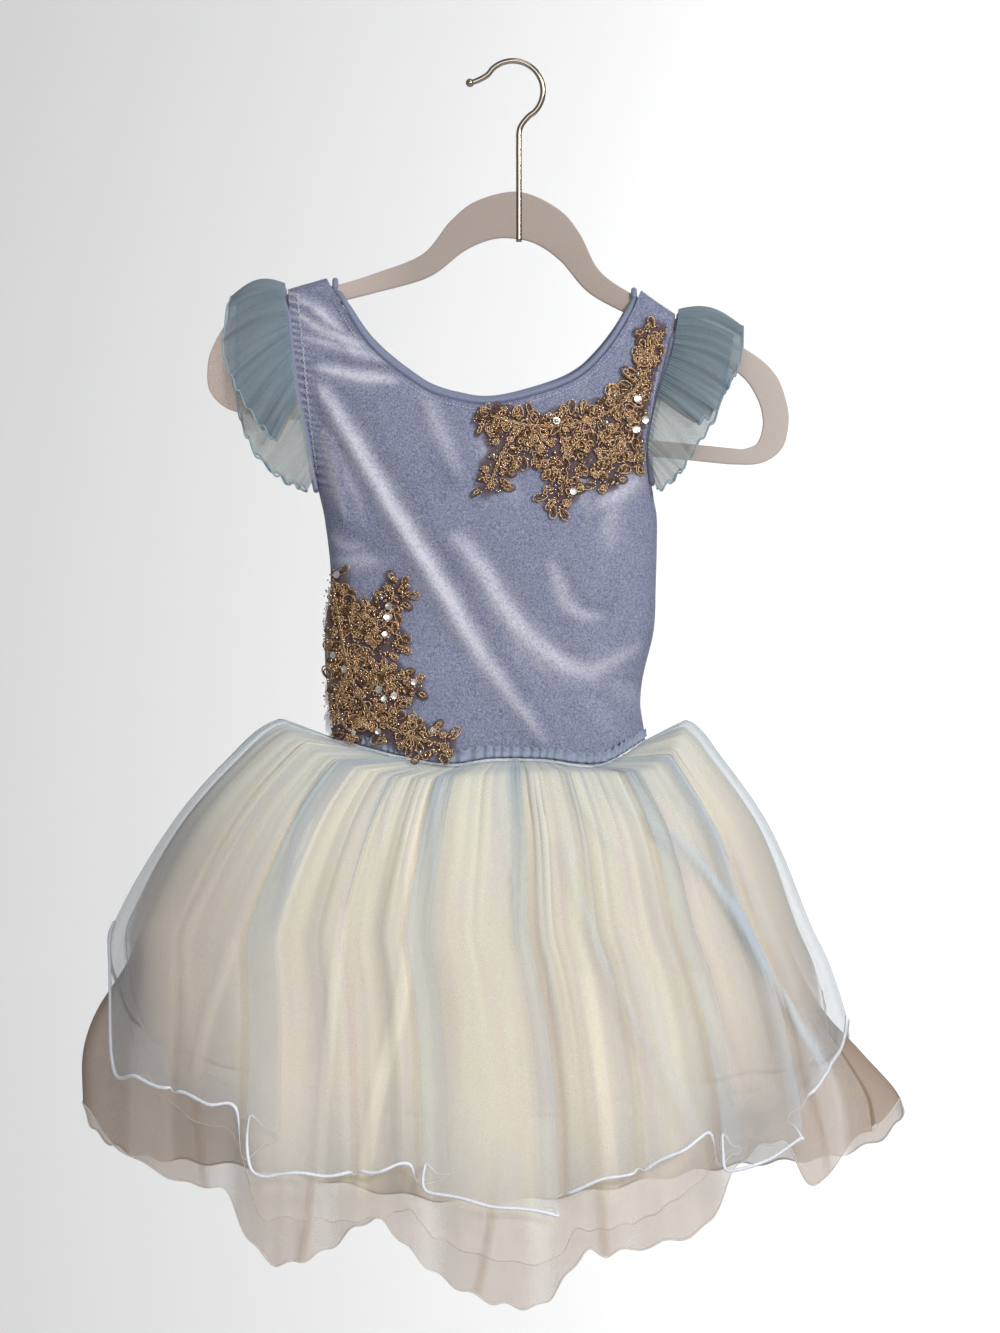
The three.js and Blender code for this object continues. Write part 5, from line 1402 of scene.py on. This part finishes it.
def laceCords(motif):
    pick = np.random.default_rng(motif["seed"])
    cords = []
    vines = [spline(vine, 12) for vine in motif["vines"]]
    for vine in vines:
        length = np.linalg.norm(np.diff(vine, axis=0), axis=1).sum()
        share = np.linspace(0, 1, int(length / 0.8))
        line = atShare(vine, share)
        aside = np.gradient(line, axis=0)[:, ::-1] * (-1, 1)
        aside /= np.linalg.norm(aside, axis=1)[:, None]
        for side in (-1, 1):
            twist = 0.75 * np.sin(share * length * 1.1 + side * math.pi / 2)
            cords.append((line + aside * twist[:, None], 0.9 + 0.4 * np.cos(share * length * 1.1) * side, False))
    for x, z, radius in motif["flowers"]:
        first = pick.uniform(0, 1)
        for k in range(6):
            heading = first + 2 * math.pi * k / 6
            cords += leafCords(x + 1.6 * math.cos(heading), z + 1.6 * math.sin(heading), heading, radius * 0.95,
                               radius * 0.72)
        cords += coilCords(x, z, radius * 0.34)
    road = np.concatenate(vines + [spline(vine, 12) for vine in motif["fill"]])
    spots = [np.array(flower[:2]) for flower in motif["flowers"]]
    low, high = road.min(0) - lace["spread"], road.max(0) + lace["spread"]
    for _ in range(9000):
        spot = pick.uniform(low, high)
        away = np.linalg.norm(road - spot, axis=1)
        nearest = road[away.argmin()]
        if away.min() > lace["spread"] * 0.72 or not inGround(spot[0], spot[1], 1.5):
            continue
        if min(np.linalg.norm(other - spot) for other in spots) < lace["spacing"]:
            continue
        spots.append(spot)
        out = spot - nearest
        heading = math.atan2(out[1], out[0]) + pick.uniform(-0.8, 0.8)
        long = lace["leafLong"] * pick.uniform(0.65, 1.05)
        kind = pick.uniform()
        tip = spot + long * np.array([math.cos(heading), math.sin(heading)])
        if not inGround(tip[0], tip[1]):
            heading += math.pi
        if kind < 0.72:
            cords += leafCords(spot[0], spot[1], heading, long, lace["leafWide"] * pick.uniform(0.7, 1.15))
        else:
            cords += coilCords(spot[0], spot[1], pick.uniform(2.0, 3.1), pick.uniform(1.6, 2.6))
        if kind < 0.5:
            turn = np.linspace(0, 2 * math.pi, 8, endpoint=False)
            ring = spot + pick.uniform(-4, 4, 2) + lace["picot"] * np.stack([np.cos(turn), np.sin(turn)], -1)
            if inGround(*ring.mean(0)):
                cords.append((ring, 0.6 + 0 * turn, True))
    return cords, road, spots[len(motif["flowers"]):]


def cordTubes(name, cords, finish):
    points, faces, first = [], [], 0
    for flat, high, closed in cords:
        keep = inGround(flat[:, 0], flat[:, 1], -2.5)
        if not keep.all():
            continue
        path = onLace(flat[:, 0], flat[:, 1], np.asarray(high) * lace["rise"])
        rings = tubePoints(path, lace["cord"], lace["sides"], closed)
        points.append(rings.reshape(-1, 3))
        faces.append(tubeFaces(len(path), lace["sides"], closed) + first)
        first += rings.shape[0] * rings.shape[1]
    piece = meshPiece(name, np.concatenate(points), np.concatenate(faces), finishes[finish])
    merge(piece)
    return piece


def makeLace(name):
    motif = laceMotifs[name]
    cords, road, spots = laceCords(motif)
    # every third cord gets the darker copy of the cord finish, painted shade among the cords
    light = cordTubes(name + "_cord", cords[::3] + cords[1::3], "cord")
    dark = cordTubes(name + "_under", cords[2::3], "cordPaintedShade")
    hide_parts(name)
    pick = np.random.default_rng(motif["seed"] + 50)
    spots = np.array(spots)
    beads = np.concatenate([spots + pick.uniform(-3.4, 3.4, spots.shape) for _ in range(6)])
    beads = beads[inGround(beads[:, 0], beads[:, 1], -0.5)]
    studded = (("beads", "bead", beads, lace["bead"], 0.35, "bead", 1.3),
               ("sequins", "sequin", spots[pick.permutation(len(spots))[:motif["sequins"]]], lace["sequin"], 0.15,
                "sequin", 1.9),
               ("stones", "bead", spots[pick.permutation(len(spots))[:motif["stones"]]], 3.2, 0.2, "stone", 1.6))
    for kind, shape, flat, size, spread, finish, high in studded:
        base = onLace(flat[:, 0], flat[:, 1], high * lace["rise"] + 0 * flat[:, 0])
        over = onLace(flat[:, 0], flat[:, 1], high * lace["rise"] + 1.0 + 0 * flat[:, 0])
        lean = pick.uniform(-0.25, 0.25, base.shape)
        scatter(name + "_" + kind, shape, base, over - base + lean, pick.uniform(-1, 1, base.shape), size, spread,
                motif["seed"], finish)
    return makeNet(name, road)


def makeNet(name, road):  # the fine net ground under the cords, fading at its edge
    step = 1.6
    reach = lace["spread"] + 1.5
    xs = np.arange(road[:, 0].min() - reach, road[:, 0].max() + reach, step)
    zs = np.arange(road[:, 1].min() - reach, road[:, 1].max() + reach, step)
    x, z = np.meshgrid(xs, zs)
    away = np.sqrt(((x[..., None] - road[:, 0]) ** 2 + (z[..., None] - road[:, 1]) ** 2).min(-1))
    away = away + 1.3 * np.sin(x / 2.3) * np.sin(z / 2.9) + 1.0 * np.sin(x / 5.1 + z / 3.7)
    inside = (away < reach) & inGround(x, z, -1.0)
    faces = gridFaces(*x.shape)
    faces = faces[inside.ravel()[faces].all(1)]
    used = np.unique(faces)
    fresh = np.full(x.size, -1)
    fresh[used] = np.arange(len(used))
    points = onLace(x.ravel()[used], z.ravel()[used], -0.9 + 0 * used)
    plies = np.clip((reach - away.ravel()[used]) / 4, 0, 1.4)
    uv = np.stack([x.ravel()[used], z.ravel()[used]], -1) / 50
    net = meshPiece(name + "_net", points, fresh[faces], finishes["net"], uv=uv, values={"plies": plies})
    return net


laceNets = {name: makeLace(name) for name in laceMotifs}
print("lace is made")


def stitchLine(name, face, nodes, spacing, long, zigzag, finish, lift=0.3):
    line = spline(nodes, 12)
    length = np.linalg.norm(np.diff(line, axis=0), axis=1).sum()
    count = int(length / spacing)
    share = (np.arange(count) + 0.5) / count
    flat = atShare(line, share)
    ahead = atShare(line, np.minimum(share + 0.5 / count, 1)) - atShare(line, share - 0.5 / count)
    turn = zigzag * (1 - 2 * (np.arange(count) % 2))
    ahead = np.stack([ahead[:, 0] * np.cos(turn) - ahead[:, 1] * np.sin(turn),
                      ahead[:, 0] * np.sin(turn) + ahead[:, 1] * np.cos(turn)], -1)
    base = onBodice(face, flat[:, 0], flat[:, 1], lift + 0 * share)
    over = onBodice(face, flat[:, 0], flat[:, 1], lift + 1 + 0 * share)
    tip = onBodice(face, flat[:, 0] + 0.1 * ahead[:, 0], flat[:, 1] + 0.1 * ahead[:, 1], lift + 0 * share)
    return scatter(name, "stitch", base, over - base, tip - base, long, 0.08, 4, finish)


seams = {
    "stitch_armhole_left": ("front", [(-133, -142), (-130, -170), (-126, -210), (-121, -250)], 1.5, 2.3, 0.75),
    "stitch_armhole_right": ("front", [(95, -160), (90, -185), (85, -215), (81, -245)], 1.7, 1.9, 0.0),
    "stitch_back_left": ("back", [(-131, -142), (-128, -170), (-124, -210), (-119, -250)], 1.7, 1.9, 0.0),
    "stitch_back_right": ("back", [(95, -160), (90, -185), (85, -215), (81, -245)], 1.7, 1.9, 0.0),
}
for name, (face, nodes, spacing, long, zigzag) in seams.items():
    stitchLine(name, face, nodes, spacing, long, zigzag, "thread")
for face in ("front", "back"):
    edge = topEdge(face, np.linspace(0.23, 0.77, 30), -3.0)
    stitchLine("stitch_neck_" + face, face, edge, 2.1, 1.7, 0.0, "thread", 0.5)
print("seams are stitched")


print("finished")
